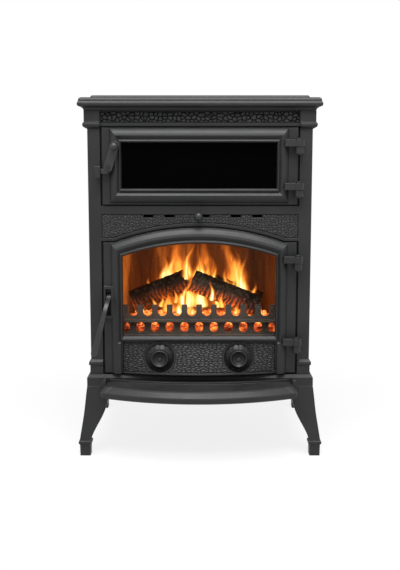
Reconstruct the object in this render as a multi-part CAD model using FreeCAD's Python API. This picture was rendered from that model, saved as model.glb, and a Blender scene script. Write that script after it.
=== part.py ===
import FreeCAD, Part
import math
import os

V = FreeCAD.Vector
os.makedirs("parts", exist_ok=True)

# Overall sizes in millimetres; front faces -Y, Z is up, floor is Z = 0
BODY_DEPTH = 360.0          # front face of the pilasters to the back face
LEG_HEIGHT = 157.0          # floor to the underside of the base plate
BASE_HEIGHT = 26.0          # moulded edge of the base plate
TOP_HEIGHT = 32.0           # moulded edge of the top plate

# Bands of the front frame, from the base plate up
FIRE_SHOULDER = 301.0       # base plate to the flat shoulders of the fire door pocket
ARCH_RISE = 33.0            # shoulder to the crown of the pocket
AIR_BAND = 26.0             # crown to the upper edge of the pebbled air panel
RAIL = 18.0                 # plain rail under the oven door
OVEN_POCKET = 173.0         # height of the oven door pocket
TOP_FRIEZE = 34.0           # crackled frieze under the top plate

# Front frame
FRAME = 24.0                # thickness at the pilasters
POCKET = 12.0               # depth of both door pockets
PILASTER = 27.5             # width of a pilaster
ARCH_RADIUS = 555.0         # crown of the fire door pocket
DOOR_X = -2.0               # middle of both doors and of the arch

# Doors
DOOR_GAP = 5.0              # door plate to pocket wall
DOOR_BACK = 4.0             # door plate behind the pilaster face
DOOR_PLATE = 8.0            # thickness of the plate around the moulding
STILE = 26.0                # moulding width at the sides
MOULD_HALF = 195.0          # half width over the moulding
MOULD_REVEAL = 18.0         # plain door plate beside the moulding
OVEN_RAIL = 32.0            # moulding width above and below the oven glass
FIRE_RAIL = 34.0            # moulding width over the fire glass
CROWN = 17.0                # moulding crown in front of the pilaster face
ROPE = 8.0                  # thickness of the door rope
ROPE_WIDTH = 10.0
GLASS = 4.0
GLASS_LAP = 7.0             # glass behind the bead
APRON_TOP = 78.0            # sill under the fire glass above the base plate
SILL = 11.0                 # height of the sill bead
APRON_BOW = 22.0            # forward bow of the lower panel
DOOR_DROP = 4.0             # base plate to the lower edge of the fire door

# Hinges
HINGE_SIDE = -3.5           # pin axis from the pocket wall, outward
HINGE_OUT = 20.0            # pin axis in front of the pilaster face
EYE = 11.0                  # radius of the eyes
LUG_EYE = 9.0               # radius of the frame lugs
PIN = 4.0                   # radius of the hinge pins
RUN = 0.05                  # running clearance on pins and spindles
FACE_GAP = 0.3              # play between faces that slide on each other
LUG = 15.0                  # height of a frame lug
ARM = 15.0                  # height of a door arm

# Air controls
DIAL_SPREAD = 87.5          # dial axis from the middle of the door
DIAL_RISE = 41.5            # dial axis above the base plate
DIAL_RADIUS = 29.0
DIAL_SEAT = 9.0             # seat in front of the pilaster face
DIAL_OPEN = 2.0             # dial behind face to seat, as shown
SPINDLE = 4.0               # radius
KNOB = 9.0                  # radius of the ball knobs
SLOT_HEIGHT = 6.0
SLIDE_TRAVEL = 20.0

# Inside
WALL = 10.0                 # side and back castings
LINER = 25.0                # firebrick liners
OVEN_SHEET = 3.0
FLOOR_RISE = 71.0           # firebox floor above the base plate
FLOOR_PLATE = 8.0
PAN_RAIL = 28.0             # height of the rails under the ash pan

# Lip, flue and legs
LIP_REACH = 110.0           # nose of the ash lip in front of the pilaster face
LIP_RADIUS = 470.0          # plan radius of the nose
FLUE_RADIUS = 65.25         # bore of the flue collar
FLUE_REACH = 50.0           # flue collar behind the back face
FLUE_DROP = 108.0           # flue axis under the top plate
LEG_TOP = 51.0              # width of a leg under the base plate

# Derived levels and planes
base_top = LEG_HEIGHT + BASE_HEIGHT
shoulder = base_top + FIRE_SHOULDER
crown = shoulder + ARCH_RISE
air_top = crown + AIR_BAND
oven_sill = air_top + RAIL
oven_head = oven_sill + OVEN_POCKET
body_top = oven_head + TOP_FRIEZE
height = body_top + TOP_HEIGHT
arch_z = crown - ARCH_RADIUS
BODY_WIDTH = 2.0 * (MOULD_HALF + MOULD_REVEAL + DOOR_GAP + PILASTER)
half = BODY_WIDTH / 2.0
inner = half - PILASTER
HINGE_X = inner + HINGE_SIDE
front = (LIP_REACH - BODY_DEPTH - FLUE_REACH) / 2.0
back = front + BODY_DEPTH
frame_back = front + FRAME
wall_out = half - 4.5
wall_in = wall_out - WALL
back_in = back - FRAME / 2.0
floor_under = base_top + FLOOR_RISE
floor_top = floor_under + FLOOR_PLATE


def out(distance):
    """Y of a plane this far in front of the pilaster face."""
    return front - distance


def box(x0, x1, y0, y1, z0, z1):
    return Part.makeBox(x1 - x0, y1 - y0, z1 - z0, V(x0, y0, z0))


def rod_x(x0, x1, y, z, radius):
    return Part.makeCylinder(radius, x1 - x0, V(x0, y, z), V(1, 0, 0))


def rod_y(y0, y1, x, z, radius):
    return Part.makeCylinder(radius, y1 - y0, V(x, y0, z), V(0, 1, 0))


def rod_z(z0, z1, x, y, radius):
    return Part.makeCylinder(radius, z1 - z0, V(x, y, z0), V(0, 0, 1))


def join(shapes):
    return shapes[0].multiFuse(shapes[1:]).removeSplitter()


def less(shape, cutters):
    return shape.cut(cutters)


def polygon(points):
    return Part.Wire(Part.makePolygon(points + [points[0]]).Edges)


def hexagon(x, y, z, across, up):
    """Hexagonal prism standing on z."""
    radius = across / math.sqrt(3.0)
    corners = []
    for i in range(6):
        angle = math.radians(60.0 * i)
        corners.append(V(x + radius * math.cos(angle), y + radius * math.sin(angle), z))
    return Part.Face(polygon(corners)).extrude(V(0, 0, up))


def save(name, shape):
    shape.exportStep("parts/" + name + ".step")


# Outlines that face the front
def rect_wire(y, x0, x1, z0, z1):
    return polygon([V(x0, y, z0), V(x1, y, z0), V(x1, y, z1), V(x0, y, z1)])


def arch_level(x, radius):
    return arch_z + math.sqrt(radius ** 2 - (x - DOOR_X) ** 2)


def arch_wire(y, x0, x1, z0, radius):
    """Straight sides and foot under an arc about the common arch centre."""
    a = V(x0, y, z0)
    b = V(x1, y, z0)
    c = V(x1, y, arch_level(x1, radius))
    d = V(x0, y, arch_level(x0, radius))
    top = V(DOOR_X, y, arch_z + radius)
    edges = [Part.makeLine(a, b), Part.makeLine(b, c), Part.Arc(c, top, d).toShape(), Part.makeLine(d, a)]
    return Part.Wire(edges)


def shoulder_wire(y, x0, x1, z0, z1, radius):
    """As the arch outline, with flat shoulders at z1 beside the arc."""
    run = math.sqrt(radius ** 2 - (z1 - arch_z) ** 2)
    a = V(x0, y, z0)
    b = V(x1, y, z0)
    c = V(x1, y, z1)
    d = V(DOOR_X + run, y, z1)
    top = V(DOOR_X, y, arch_z + radius)
    e = V(DOOR_X - run, y, z1)
    f = V(x0, y, z1)
    lower = Part.makePolygon([e, f, a, b, c, d]).Edges
    return Part.Wire([Part.Arc(d, top, e).toShape()] + lower)


def slab(wire, depth):
    return Part.Face(wire).extrude(V(0, depth, 0))


def loft(wires):
    return Part.makeLoft(wires, True, True)


# Moulded plates: one edge profile carried round all four sides
def profile_edges(profile, place):
    """Edges of a profile; each entry is an end point, or an arc through a middle point to an end point."""
    edges = []
    last = place(profile[0])
    for entry in profile[1:]:
        if len(entry) == 2:
            end = place(entry)
            edges.append(Part.makeLine(last, end))
        else:
            end = place(entry[2:])
            edges.append(Part.Arc(last, place(entry[:2]), end).toShape())
        last = end
    return edges


def profile_face(profile, near, far):
    first = profile[0]
    last = profile[-1][-2:]
    edges = profile_edges(profile, near) + profile_edges(profile, far)
    edges.append(Part.makeLine(near(first), far(first)))
    edges.append(Part.makeLine(near(last), far(last)))
    return Part.Face(Part.Wire(Part.__sortEdges__(edges)))


def moulded_plate(profile, x_half, y0, y1, z0):
    reach = 60.0

    def right(p):
        return V(x_half + p[0], y0 - reach, z0 + p[1])

    def left(p):
        return V(-x_half - p[0], y0 - reach, z0 + p[1])

    def ahead(p):
        return V(-x_half - reach, y0 - p[0], z0 + p[1])

    def behind(p):
        return V(-x_half - reach, y1 + p[0], z0 + p[1])

    across = profile_face(profile, right, left).extrude(V(0, y1 - y0 + 2.0 * reach, 0))
    along = profile_face(profile, ahead, behind).extrude(V(2.0 * (x_half + reach), 0, 0))
    return across.common(along)


# Base plate with ash pan rails and a hollow underside
BASE_OVER = 8.5
base_half = half + BASE_OVER
base_y0 = out(BASE_OVER)
base_y1 = back + BASE_OVER
base_profile = [(0.0, 0.0), (0.0, BASE_HEIGHT - 7.0), (-4.0, BASE_HEIGHT)]
skirt = LEG_TOP + 2.0
base = moulded_plate(base_profile, base_half, base_y0, base_y1, LEG_HEIGHT)
BASE_WALL = 10.0
BASE_SKIN = 8.0
hollow_top = base_top - BASE_SKIN
hollow_x = base_half - BASE_WALL
hollow_a = box(-hollow_x, hollow_x, base_y0 + skirt, base_y1 - skirt, LEG_HEIGHT - 1, hollow_top)
hollow_x = base_half - skirt
hollow_b = box(-hollow_x, hollow_x, base_y0 + BASE_WALL, base_y1 - BASE_WALL, LEG_HEIGHT - 1, hollow_top)
base = less(base, [hollow_a, hollow_b])
PAN_HALF = 140.0
pan_y0 = frame_back + 8.0
pan_y1 = pan_y0 + 250.0
rails = []
for side in (-1, 1):
    x = side * (PAN_HALF - 22.0)
    rails.append(box(x - 5, x + 5, frame_back + 4, pan_y1, base_top - 2, base_top + PAN_RAIL))
base = join([base] + rails)
ROD = 4.0
ROD_HOLE = ROD + 0.2
rod_x_pos = inner + 1.0
rod_front = frame_back + 15.0
rod_rear = back - FRAME - 15.0
corners = []
for sx in (-1, 1):
    for sy in (rod_front, rod_rear):
        corners.append((sx * rod_x_pos, sy))
base = less(base, [rod_z(LEG_HEIGHT - 1, base_top + 1, x, y, ROD_HOLE) for x, y in corners])
LIP_BOLTS = 130.0
LIP_BOLT_Z = LEG_HEIGHT + 7.0
lip_bolt_y = base_y0 + BASE_WALL
BOLT = 3.0
BOLT_HOLE = BOLT + 0.2
lip_spots = [DOOR_X + s * LIP_BOLTS for s in (-1, 1)]
base = less(base, [rod_y(base_y0 - 1, lip_bolt_y + 1, x, LIP_BOLT_Z, BOLT_HOLE) for x in lip_spots])
save("base_plate", base)

# Cast legs: one profile seen from the front and from the side
leg_outer = [(0.0, 0.0), (2.5, -19.0), (6.5, -55.0), (13.5, -100.0), (17.0, -122.5)]
leg_inner = [(-LEG_TOP, 0.0), (3.0 - LEG_TOP, -19.0), (11.5 - LEG_TOP, -55.0)]
leg_inner += [(-16.5, -100.0), (-7.5, -122.5)]
leg_foot = [(19.0, -124.0), (19.0, -129.0), (16.5, -131.0), (16.0, -LEG_HEIGHT)]
leg_toe = [(-7.0, -LEG_HEIGHT), (-7.5, -131.0), (-10.0, -129.0), (-10.0, -124.0)]


def leg_face(place):
    outer_curve = Part.BSplineCurve()
    outer_curve.interpolate([place(p) for p in leg_outer])
    inner_curve = Part.BSplineCurve()
    inner_curve.interpolate([place(p) for p in leg_inner])
    foot = [leg_outer[-1]] + leg_foot + leg_toe + [leg_inner[-1]]
    edges = [outer_curve.toShape()] + Part.makePolygon([place(p) for p in foot]).Edges
    edges.append(inner_curve.toShape())
    edges.append(Part.makeLine(place(leg_inner[0]), place(leg_outer[0])))
    return Part.Face(Part.Wire(Part.__sortEdges__(edges)))


def leg(sx, sy):
    corner_y = base_y0 if sy < 0 else base_y1

    def across(p):
        return V(sx * (base_half + p[0]), corner_y - 150.0, LEG_HEIGHT + p[1])

    def along(p):
        return V(sx * base_half - 150.0, corner_y + sy * p[0], LEG_HEIGHT + p[1])

    shape = leg_face(across).extrude(V(0, 300, 0)).common(leg_face(along).extrude(V(300, 0, 0)))
    x = sx * rod_x_pos
    y = rod_front if sy < 0 else rod_rear
    return shape.cut(rod_z(LEG_HEIGHT - 22, LEG_HEIGHT + 1, x, y, ROD_HOLE))


save("leg_front_left", leg(-1, -1))
save("leg_front_right", leg(1, -1))
save("leg_rear_left", leg(-1, 1))
save("leg_rear_right", leg(1, 1))

# Top plate: cove, half-round nose, quarter round and raised field
TOP_OVER = 5.0
top_y0 = out(11.0)
top_y1 = back + TOP_OVER
top_half = half + TOP_OVER
top_profile = [
    (0.0, 0.0),
    (4.0, 5.0, 11.5, 8.0),
    (13.0, 12.5, 11.5, 17.0),
    (10.5, 18.0),
    (9.5, 23.5, 4.5, 26.5),
    (-13.0, 27.0),
    (-14.5, 30.5, -18.0, TOP_HEIGHT),
]
top = moulded_plate(top_profile, top_half, top_y0, top_y1, body_top)
inset_x = inner - 22.0
well = box(-inset_x, inset_x, frame_back + 30, back - FRAME - 30, body_top - 1, body_top + TOP_HEIGHT - 10)
top = less(top, [well] + [rod_z(body_top - 1, body_top + 18, x, y, ROD_HOLE) for x, y in corners])
save("top_plate", top)

# Tie rods from the legs to the top plate, with nuts on the base plate
rods = [rod_z(LEG_HEIGHT - 21, body_top + 17, x, y, ROD) for x, y in corners]
nuts = []
for x, y in corners:
    nuts.append(hexagon(x, y, base_top, 13.0, 7.0).cut(rod_z(base_top - 1, base_top + 8, x, y, ROD + RUN)))
save("tie_rods", Part.makeCompound(rods))
save("tie_rod_nuts", Part.makeCompound(nuts))


# Corner posts with capital and foot, shared by the front and back castings
def post(side, face, turn, depth):
    """side is +1 or -1 in X; turn is -1 when the face looks to the front."""

    def section(z, grow, lift):
        x0 = side * inner
        x1 = side * (half + grow)
        y0 = face - turn * depth
        y1 = face + turn * lift
        return polygon([V(x0, y0, z), V(x1, y0, z), V(x1, y1, z), V(x0, y1, z)])

    foot = [
        section(base_top, 1.5, 2.0),
        section(base_top + 20, 1.5, 2.0),
        section(base_top + 22, 4.0, 4.5),
        section(base_top + 28, 4.0, 4.5),
        section(base_top + 33.5, 0.0, 0.0),
    ]
    head = [
        section(body_top - 40, 0.0, 0.0),
        section(body_top - 36, 7.0, 7.0),
        section(body_top - 33, 9.0, 9.0),
        section(body_top - 29, 9.0, 9.0),
        section(body_top - 25, 6.0, 6.0),
        section(body_top, 6.0, 6.0),
    ]
    return [loft(foot), loft(head)]


# Front frame: pilasters, two door pockets with mouths, two friezes, hinge lugs
plate = box(-half, half, front, frame_back, base_top, body_top)
upright = []
for edge in plate.Edges:
    if abs(edge.BoundBox.ZLength - (body_top - base_top)) < 1.0 and edge.BoundBox.YMax < front + 1.0:
        upright.append(edge)
plate = plate.makeFillet(3.5, upright)
oven_pocket = slab(rect_wire(front, -inner, inner, oven_sill, oven_head), POCKET)
fire_pocket = slab(shoulder_wire(front, -inner, inner, base_top - 1, shoulder, ARCH_RADIUS), POCKET)

mouth_half = MOULD_HALF - STILE + 10.5
fire_mouth_z = base_top + 27.0
fire_mouth_r = ARCH_RADIUS - 28.0
oven_glass_z0 = oven_sill + 6.5 + OVEN_RAIL
oven_glass_z1 = oven_head - 4.0 - OVEN_RAIL
oven_mouth_z0 = oven_glass_z0 - 12.0
oven_mouth_z1 = oven_glass_z1 + 12.0
mouth_x0 = DOOR_X - mouth_half
mouth_x1 = DOOR_X + mouth_half
oven_mouth = slab(rect_wire(front, mouth_x0, mouth_x1, oven_mouth_z0, oven_mouth_z1), FRAME + 1)
fire_mouth = slab(arch_wire(front, mouth_x0, mouth_x1, fire_mouth_z, fire_mouth_r), FRAME + 1)

AIR_RIM = 6.0
air_field = slab(rect_wire(front - 1, -inner + 1, inner - 1, shoulder + AIR_RIM, air_top), 3.5)
rim_wire = shoulder_wire(front - 2, -inner, inner, base_top, shoulder + AIR_RIM, ARCH_RADIUS + AIR_RIM)
rim_cut = slab(rim_wire, 8)
air_field = air_field.cut(rim_cut)
frieze_field = box(-inner + 1, inner - 1, front - 1, front + 3, oven_head + 7, body_top - 2)

slot_z = air_top - 1.0 - SLOT_HEIGHT / 2.0
SLOT_SPOTS = (-120.0, -73.0, 73.0, 120.0)
SLOT_LENGTH = 22.0
knob_x = DOOR_X - 1.0
slot_mid = knob_x + SLIDE_TRAVEL / 2.0 - 1.0


def air_slot(x, y0, y1, length):
    z0 = slot_z - SLOT_HEIGHT / 2.0
    return box(x - length / 2.0, x + length / 2.0, y0, y1, z0, z0 + SLOT_HEIGHT)


slots = [air_slot(slot_mid + s, front - 1, frame_back + 1, SLOT_LENGTH) for s in SLOT_SPOTS]
stem_run = box(knob_x - 4.5, knob_x + SLIDE_TRAVEL + 4.5, front - 1, frame_back + 1, slot_z - 3, slot_z + 3)
plate = less(plate, [oven_pocket, fire_pocket, oven_mouth, fire_mouth])
plate = less(plate, [air_field, frieze_field, stem_run] + slots)

oven_arms = (oven_sill + 36.0, oven_sill + 129.0)
fire_arms = (base_top + 70.0, base_top + 254.0)
hinge_y = out(HINGE_OUT)
lugs = []
pin_holes = []
for z in oven_arms + fire_arms:
    lug_top = z - FACE_GAP
    lugs.append(rod_z(lug_top - LUG, lug_top, HINGE_X, hinge_y, LUG_EYE))
    lugs.append(box(inner, HINGE_X + LUG_EYE + 2, hinge_y, front + 2, lug_top - LUG, lug_top))
    pin_holes.append(rod_z(lug_top - LUG - 1, lug_top + 1, HINGE_X, hinge_y, PIN + RUN))
posts = post(-1, front, -1, FRAME) + post(1, front, -1, FRAME)
frame = less(join([plate] + posts + lugs), pin_holes)
save("front_frame", frame)


def hinge_pins(levels):
    pins = []
    for z in levels:
        shank = rod_z(z - FACE_GAP - LUG - 3, z + ARM + 1, HINGE_X, hinge_y, PIN)
        head = rod_z(z + ARM + FACE_GAP, z + ARM + 3, HINGE_X, hinge_y, PIN + 3)
        pins.append(join([shank, head]))
    return Part.makeCompound(pins)


save("oven_hinge_pins", hinge_pins(oven_arms))
save("fire_hinge_pins", hinge_pins(fire_arms))


# Side castings with a framed field outside and a ledge for the firebox floor inside
def side_panel(side):
    y0 = frame_back
    y1 = back - FRAME
    x_in = side * wall_in
    x_out = side * wall_out
    shape = box(min(x_in, x_out), max(x_in, x_out), y0, y1, base_top, body_top)
    x_cut = side * (wall_out - 3.0)
    x_far = side * (wall_out + 1.0)
    lo = min(x_cut, x_far)
    hi = max(x_cut, x_far)
    lower = box(lo, hi, y0 + 26, y1 - 26, base_top + 45, air_top - 12)
    upper = box(lo, hi, y0 + 26, y1 - 26, air_top + 12, body_top - 45)
    x_ledge = side * (wall_in - 14.0)
    ledge = box(min(x_in, x_ledge), max(x_in, x_ledge), y0 + 30, y1 - 30, floor_under - 8, floor_under)
    foot_rail = box(lo - 4 if side > 0 else lo, hi if side > 0 else hi + 4, y0, y1, base_top, base_top + 20)
    shape = less(shape, [lower, upper])
    return join([shape, ledge, foot_rail])


save("side_panel_left", side_panel(-1))
save("side_panel_right", side_panel(1))

# Back casting with the flue opening
flue_z = body_top - FLUE_DROP
rear = box(-half, half, back - FRAME, back, base_top, body_top)
rear_well = box(-inner, inner, back - FRAME - 1, back_in, base_top - 1, body_top + 1)
rear_field = box(-inner + 14, inner - 14, back - 4, back + 1, base_top + 34, body_top - 44)
rear = less(rear, [rear_well, rear_field])
pad = rod_y(back_in, back, 0, flue_z, FLUE_RADIUS + 36)
rear = join([rear, pad] + post(-1, back, 1, FRAME) + post(1, back, 1, FRAME))
FLUE_BOLTS = FLUE_RADIUS + 21.0
flue_spots = []
for i in range(4):
    angle = math.radians(45.0 + 90.0 * i)
    flue_spots.append((FLUE_BOLTS * math.cos(angle), flue_z + FLUE_BOLTS * math.sin(angle)))
rear_holes = [rod_y(back - FRAME - 1, back + 1, x, z, BOLT_HOLE) for x, z in flue_spots]
rear = less(rear, [rod_y(back - FRAME - 1, back + 1, 0, flue_z, FLUE_RADIUS + 1)] + rear_holes)
save("back_panel", rear)

# Flue collar on the back
FLUE_FLANGE = 8.0
flange = rod_y(back, back + FLUE_FLANGE, 0, flue_z, FLUE_RADIUS + 32)
spigot = rod_y(back, back + FLUE_REACH, 0, flue_z, FLUE_RADIUS + 5.5)
rim = rod_y(back + FLUE_REACH - 8, back + FLUE_REACH, 0, flue_z, FLUE_RADIUS + 8.5)
collar_holes = [rod_y(back - 1, back + FLUE_FLANGE + 1, x, z, BOLT_HOLE) for x, z in flue_spots]
collar_bore = rod_y(back - 1, back + FLUE_REACH + 1, 0, flue_z, FLUE_RADIUS)
save("flue_collar", less(join([flange, spigot, rim]), [collar_bore] + collar_holes))


def bolt_y(x, z, seat, length, turn):
    """Bolt along Y; the head sits on the seat and looks along turn."""
    head = hexagon(0, 0, 0, 10.0, 4.5)
    shank = rod_z(-length, 1, 0, 0, BOLT)
    shape = join([head, shank])
    shape.rotate(V(0, 0, 0), V(1, 0, 0), -90.0 * turn)
    shape.translate(V(x, seat, z))
    return shape


flue_seat = back + FLUE_FLANGE
save("flue_collar_bolts", Part.makeCompound([bolt_y(x, z, flue_seat, 16, 1) for x, z in flue_spots]))

# Ash lip: bowed shelf with a sloped rim, a back ridge and end cheeks
LIP_SIDE = 28.0             # outer face of a pilaster to the end of the lip
lip_half = half - LIP_SIDE
lip_z0 = LEG_HEIGHT - 16.0
lip_nose = LEG_HEIGHT + 5.0


def bow(x, reach, radius):
    """Distance in front of the pilaster face of a bow with this reach in its middle."""
    return reach - radius + math.sqrt(radius ** 2 - (x - DOOR_X) ** 2)


def lip_outline(z, shrink):
    end = lip_half - shrink
    turn = 13.0
    x0 = DOOR_X - end
    x1 = DOOR_X + end
    side_out = bow(x0 + turn, LIP_REACH - shrink, LIP_RADIUS) - 11.0
    a = V(x0, base_y0, z)
    b = V(x0, out(side_out), z)
    c = V(x0 + turn, out(bow(x0 + turn, LIP_REACH - shrink, LIP_RADIUS)), z)
    d = V(x1 - turn, c.y, z)
    e = V(x1, b.y, z)
    f = V(x1, base_y0, z)
    mid_l = V(x0 + 3.2, out(side_out + 7.4), z)
    mid_r = V(x1 - 3.2, out(side_out + 7.4), z)
    nose = V(DOOR_X, out(LIP_REACH - shrink), z)
    edges = [
        Part.makeLine(a, b),
        Part.Arc(b, mid_l, c).toShape(),
        Part.Arc(c, nose, d).toShape(),
        Part.Arc(d, mid_r, e).toShape(),
        Part.makeLine(e, f),
        Part.makeLine(f, a),
    ]
    return Part.Wire(edges)


lip_sections = [
    lip_outline(lip_z0, 5.0),
    lip_outline(lip_z0 + 3, 2.0),
    lip_outline(lip_nose - 10, 0.0),
    lip_outline(lip_nose - 7, 0.8),
    lip_outline(lip_nose + 2.5, 9.5),
    lip_outline(lip_nose + 5.0, 14.0),
    lip_outline(lip_nose + 8.0, 60.0),
]
lip = loft(lip_sections)


def bowed_band(reach0, reach1, radius, x_half, z0, z1):
    """Upright band between two bows of one radius."""
    x0 = DOOR_X - x_half
    x1 = DOOR_X + x_half
    a = V(x0, out(bow(x0, reach0, radius)), z0)
    b = V(x1, a.y, z0)
    c = V(x1, out(bow(x1, reach1, radius)), z0)
    d = V(x0, c.y, z0)
    rear_arc = Part.Arc(a, V(DOOR_X, out(reach0), z0), b).toShape()
    fore_arc = Part.Arc(c, V(DOOR_X, out(reach1), z0), d).toShape()
    edges = [rear_arc, Part.makeLine(b, c), fore_arc, Part.makeLine(d, a)]
    return Part.Face(Part.Wire(edges)).extrude(V(0, 0, z1 - z0))


RIDGE_REACH = 46.0
ridge = bowed_band(RIDGE_REACH - 7, RIDGE_REACH, 640.0, lip_half - 16, lip_nose - 4, base_top - 9)
cheeks = []
for side in (-1, 1):
    x = DOOR_X + side * (lip_half - 5.0)
    cheek = box(x - 5, x + 5, out(34), base_y0, lip_nose - 8, base_top - 7)
    crest = [e for e in cheek.Edges if e.BoundBox.YLength > 20 and e.BoundBox.ZMin > lip_nose]
    cheeks.append(cheek.makeFillet(4.0, crest))
lip = join([lip, ridge] + cheeks)
LIP_WALL = 8.0
under_half = lip_half - 12.0
under = box(
    DOOR_X - under_half, DOOR_X + under_half, out(46), base_y0 - LIP_WALL, lip_z0 - 1, lip_nose - LIP_WALL,
)
leg_room = box(-half, half, base_y0 - 5, base_y0 + 1, lip_z0 - 1, LEG_HEIGHT)
base_room = box(-half, half, base_y0, base_y0 + 30, lip_z0 - 1, base_top)
lip_holes = [rod_y(base_y0 - 13, base_y0 + 1, x, LIP_BOLT_Z, BOLT_HOLE) for x in lip_spots]
lip = less(lip, [under, leg_room, base_room] + lip_holes)
save("ash_lip", lip)
save("ash_lip_bolts", Part.makeCompound([bolt_y(x, LIP_BOLT_Z, lip_bolt_y, 22, 1) for x in lip_spots]))

# Doors: moulding sections as (share of the moulding width, distance in front of the pilaster face)
OUTER = [(0.0, 0.0), (0.0, 6.0), (0.08, 9.5), (0.20, 12.8), (0.35, 15.6), (0.50, CROWN)]
COVE = [(0.74, CROWN - 4.5), (0.63, CROWN - 2.2), (0.53, CROWN), (0.50, CROWN + 1)]
BEAD = [(0.77, 4.0), (0.77, CROWN - 3), (0.82, CROWN - 0.8), (0.88, CROWN)]
SIGHT = [(1.0, -DOOR_BACK - 1), (1.0, CROWN - 5), (0.95, CROWN - 1.5), (0.90, CROWN), (0.87, CROWN + 1)]
plate_front = out(DOOR_PLATE - DOOR_BACK)
plate_back = out(-DOOR_BACK)
plate_half = inner - DOOR_GAP
glass_half = MOULD_HALF - STILE + GLASS_LAP
glass_y = plate_back - GLASS
rope_in = mouth_half + 1.5
rope_out = rope_in + ROPE_WIDTH
CLIP = 1.5
CLIP_HALF = 6.0
CLIP_SPREAD = 110.0
SCREW = 2.0


def door_arm(z):
    """Hinge arm from the stile to the eye, without its bore."""
    bar = box(DOOR_X + MOULD_HALF - 9, HINGE_X, out(HINGE_OUT + 7), out(HINGE_OUT - 8), z, z + ARM)
    return [bar, rod_z(z, z + ARM, HINGE_X, hinge_y, EYE)]


def eye_bore(z):
    return rod_z(z - 1, z + ARM + 1, HINGE_X, hinge_y, PIN + RUN)


def clip_at(x, z0, z1):
    return box(x - CLIP_HALF, x + CLIP_HALF, plate_back, plate_back + CLIP, z0, z1)


def clip_screw(x, z):
    head = rod_y(plate_back + CLIP, plate_back + CLIP + 2, x, z, SCREW + 1.2)
    return join([head, rod_y(plate_back - 7, plate_back + CLIP + 1, x, z, SCREW)])


def screw_hole(x, z):
    return rod_y(plate_back - 8, plate_back + CLIP + 1, x, z, SCREW + 0.2)


# Oven door
oven_z0 = oven_glass_z0 - OVEN_RAIL
oven_z1 = oven_glass_z1 + OVEN_RAIL


def oven_wire(share, distance):
    x0 = DOOR_X - MOULD_HALF + STILE * share
    x1 = DOOR_X + MOULD_HALF - STILE * share
    return rect_wire(out(distance), x0, x1, oven_z0 + OVEN_RAIL * share, oven_z1 - OVEN_RAIL * share)


def oven_loft(sections):
    return loft([oven_wire(share, distance) for share, distance in sections])


DOOR_EDGE = 3.5
plate_z0 = oven_sill + DOOR_EDGE
plate_z1 = oven_head - DOOR_EDGE
oven_plate_wire = rect_wire(plate_front, -plate_half, plate_half, plate_z0, plate_z1)
oven_plate = slab(oven_plate_wire, DOOR_PLATE)
oven_door = oven_loft(OUTER).fuse(oven_plate).cut(oven_loft(COVE)).fuse(oven_loft(BEAD))
LATCH_X = DOOR_X - MOULD_HALF - 2.0
latch_z = oven_sill + 83.0
LATCH_BOSS = 20.0
boss = rod_y(out(LATCH_BOSS), out(0), LATCH_X, latch_z, 8.0)
arms = []
for z in oven_arms:
    arms += door_arm(z)
oven_door = join([oven_door, boss] + arms)
oven_pane_z0 = oven_glass_z0 - GLASS_LAP
oven_pane_z1 = oven_glass_z1 + GLASS_LAP
pane_x0 = DOOR_X - glass_half
pane_x1 = DOOR_X + glass_half
PANE_PLAY = 0.5
rebate_x0 = pane_x0 - PANE_PLAY
rebate_x1 = pane_x1 + PANE_PLAY
rebate_wire = rect_wire(glass_y, rebate_x0, rebate_x1, oven_pane_z0 - PANE_PLAY, oven_pane_z1 + PANE_PLAY)
oven_rebate = slab(rebate_wire, GLASS + 1)
clip_xs = (DOOR_X - CLIP_SPREAD, DOOR_X + CLIP_SPREAD)
oven_screws = []
oven_clips = []
for x in clip_xs:
    oven_clips.append(clip_at(x, oven_pane_z1 - 6, oven_pane_z1 + 6))
    oven_clips.append(clip_at(x, oven_pane_z0 - 6, oven_pane_z0 + 6))
    oven_screws.append((x, oven_pane_z1 + 3))
    oven_screws.append((x, oven_pane_z0 - 3))
oven_cuts = [oven_loft(SIGHT), oven_rebate] + [eye_bore(z) for z in oven_arms]
oven_cuts += [screw_hole(x, z) for x, z in oven_screws]
oven_cuts.append(rod_y(out(LATCH_BOSS + 1), out(6), LATCH_X, latch_z, BOLT + RUN))
save("oven_door", less(oven_door, oven_cuts))
save("oven_glass", box(pane_x0, pane_x1, glass_y, plate_back, oven_pane_z0, oven_pane_z1))
clip_holes = [screw_hole(x, z) for x, z in oven_screws]
save("oven_glass_clips", Part.makeCompound([clip.cut(clip_holes) for clip in oven_clips]))
save("oven_clip_screws", Part.makeCompound([clip_screw(x, z) for x, z in oven_screws]))
rope_y = front + POCKET
ROPE_CLEAR = 9.0            # glass edge to the rope above and below
rope_z0 = oven_pane_z0 - ROPE_CLEAR
rope_z1 = oven_pane_z1 + ROPE_CLEAR
rope_x0 = DOOR_X - rope_out
rope_x1 = DOOR_X + rope_out
oven_rope_face = rect_wire(plate_back, rope_x0, rope_x1, rope_z0 - ROPE_WIDTH, rope_z1 + ROPE_WIDTH)
oven_rope_void = rect_wire(plate_back, DOOR_X - rope_in, DOOR_X + rope_in, rope_z0, rope_z1)
save("oven_door_rope", slab(oven_rope_face, ROPE).cut(slab(oven_rope_void, ROPE)))

# Oven latch: pivoted lever with a ball knob and a nose beside the keeper
LEVER = 6.0
lever_y1 = out(LATCH_BOSS + FACE_GAP)
lever_y0 = lever_y1 - LEVER
knob_dx = 15.0
knob_dz = 46.0
reach = math.hypot(knob_dx, knob_dz)
ux = knob_dx / reach
uz = knob_dz / reach
r0 = 9.5
r1 = 8.5
tip = reach + 4.0


def lever_point(along, across):
    return V(LATCH_X + ux * along + uz * across, lever_y0, latch_z + uz * along - ux * across)


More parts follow.
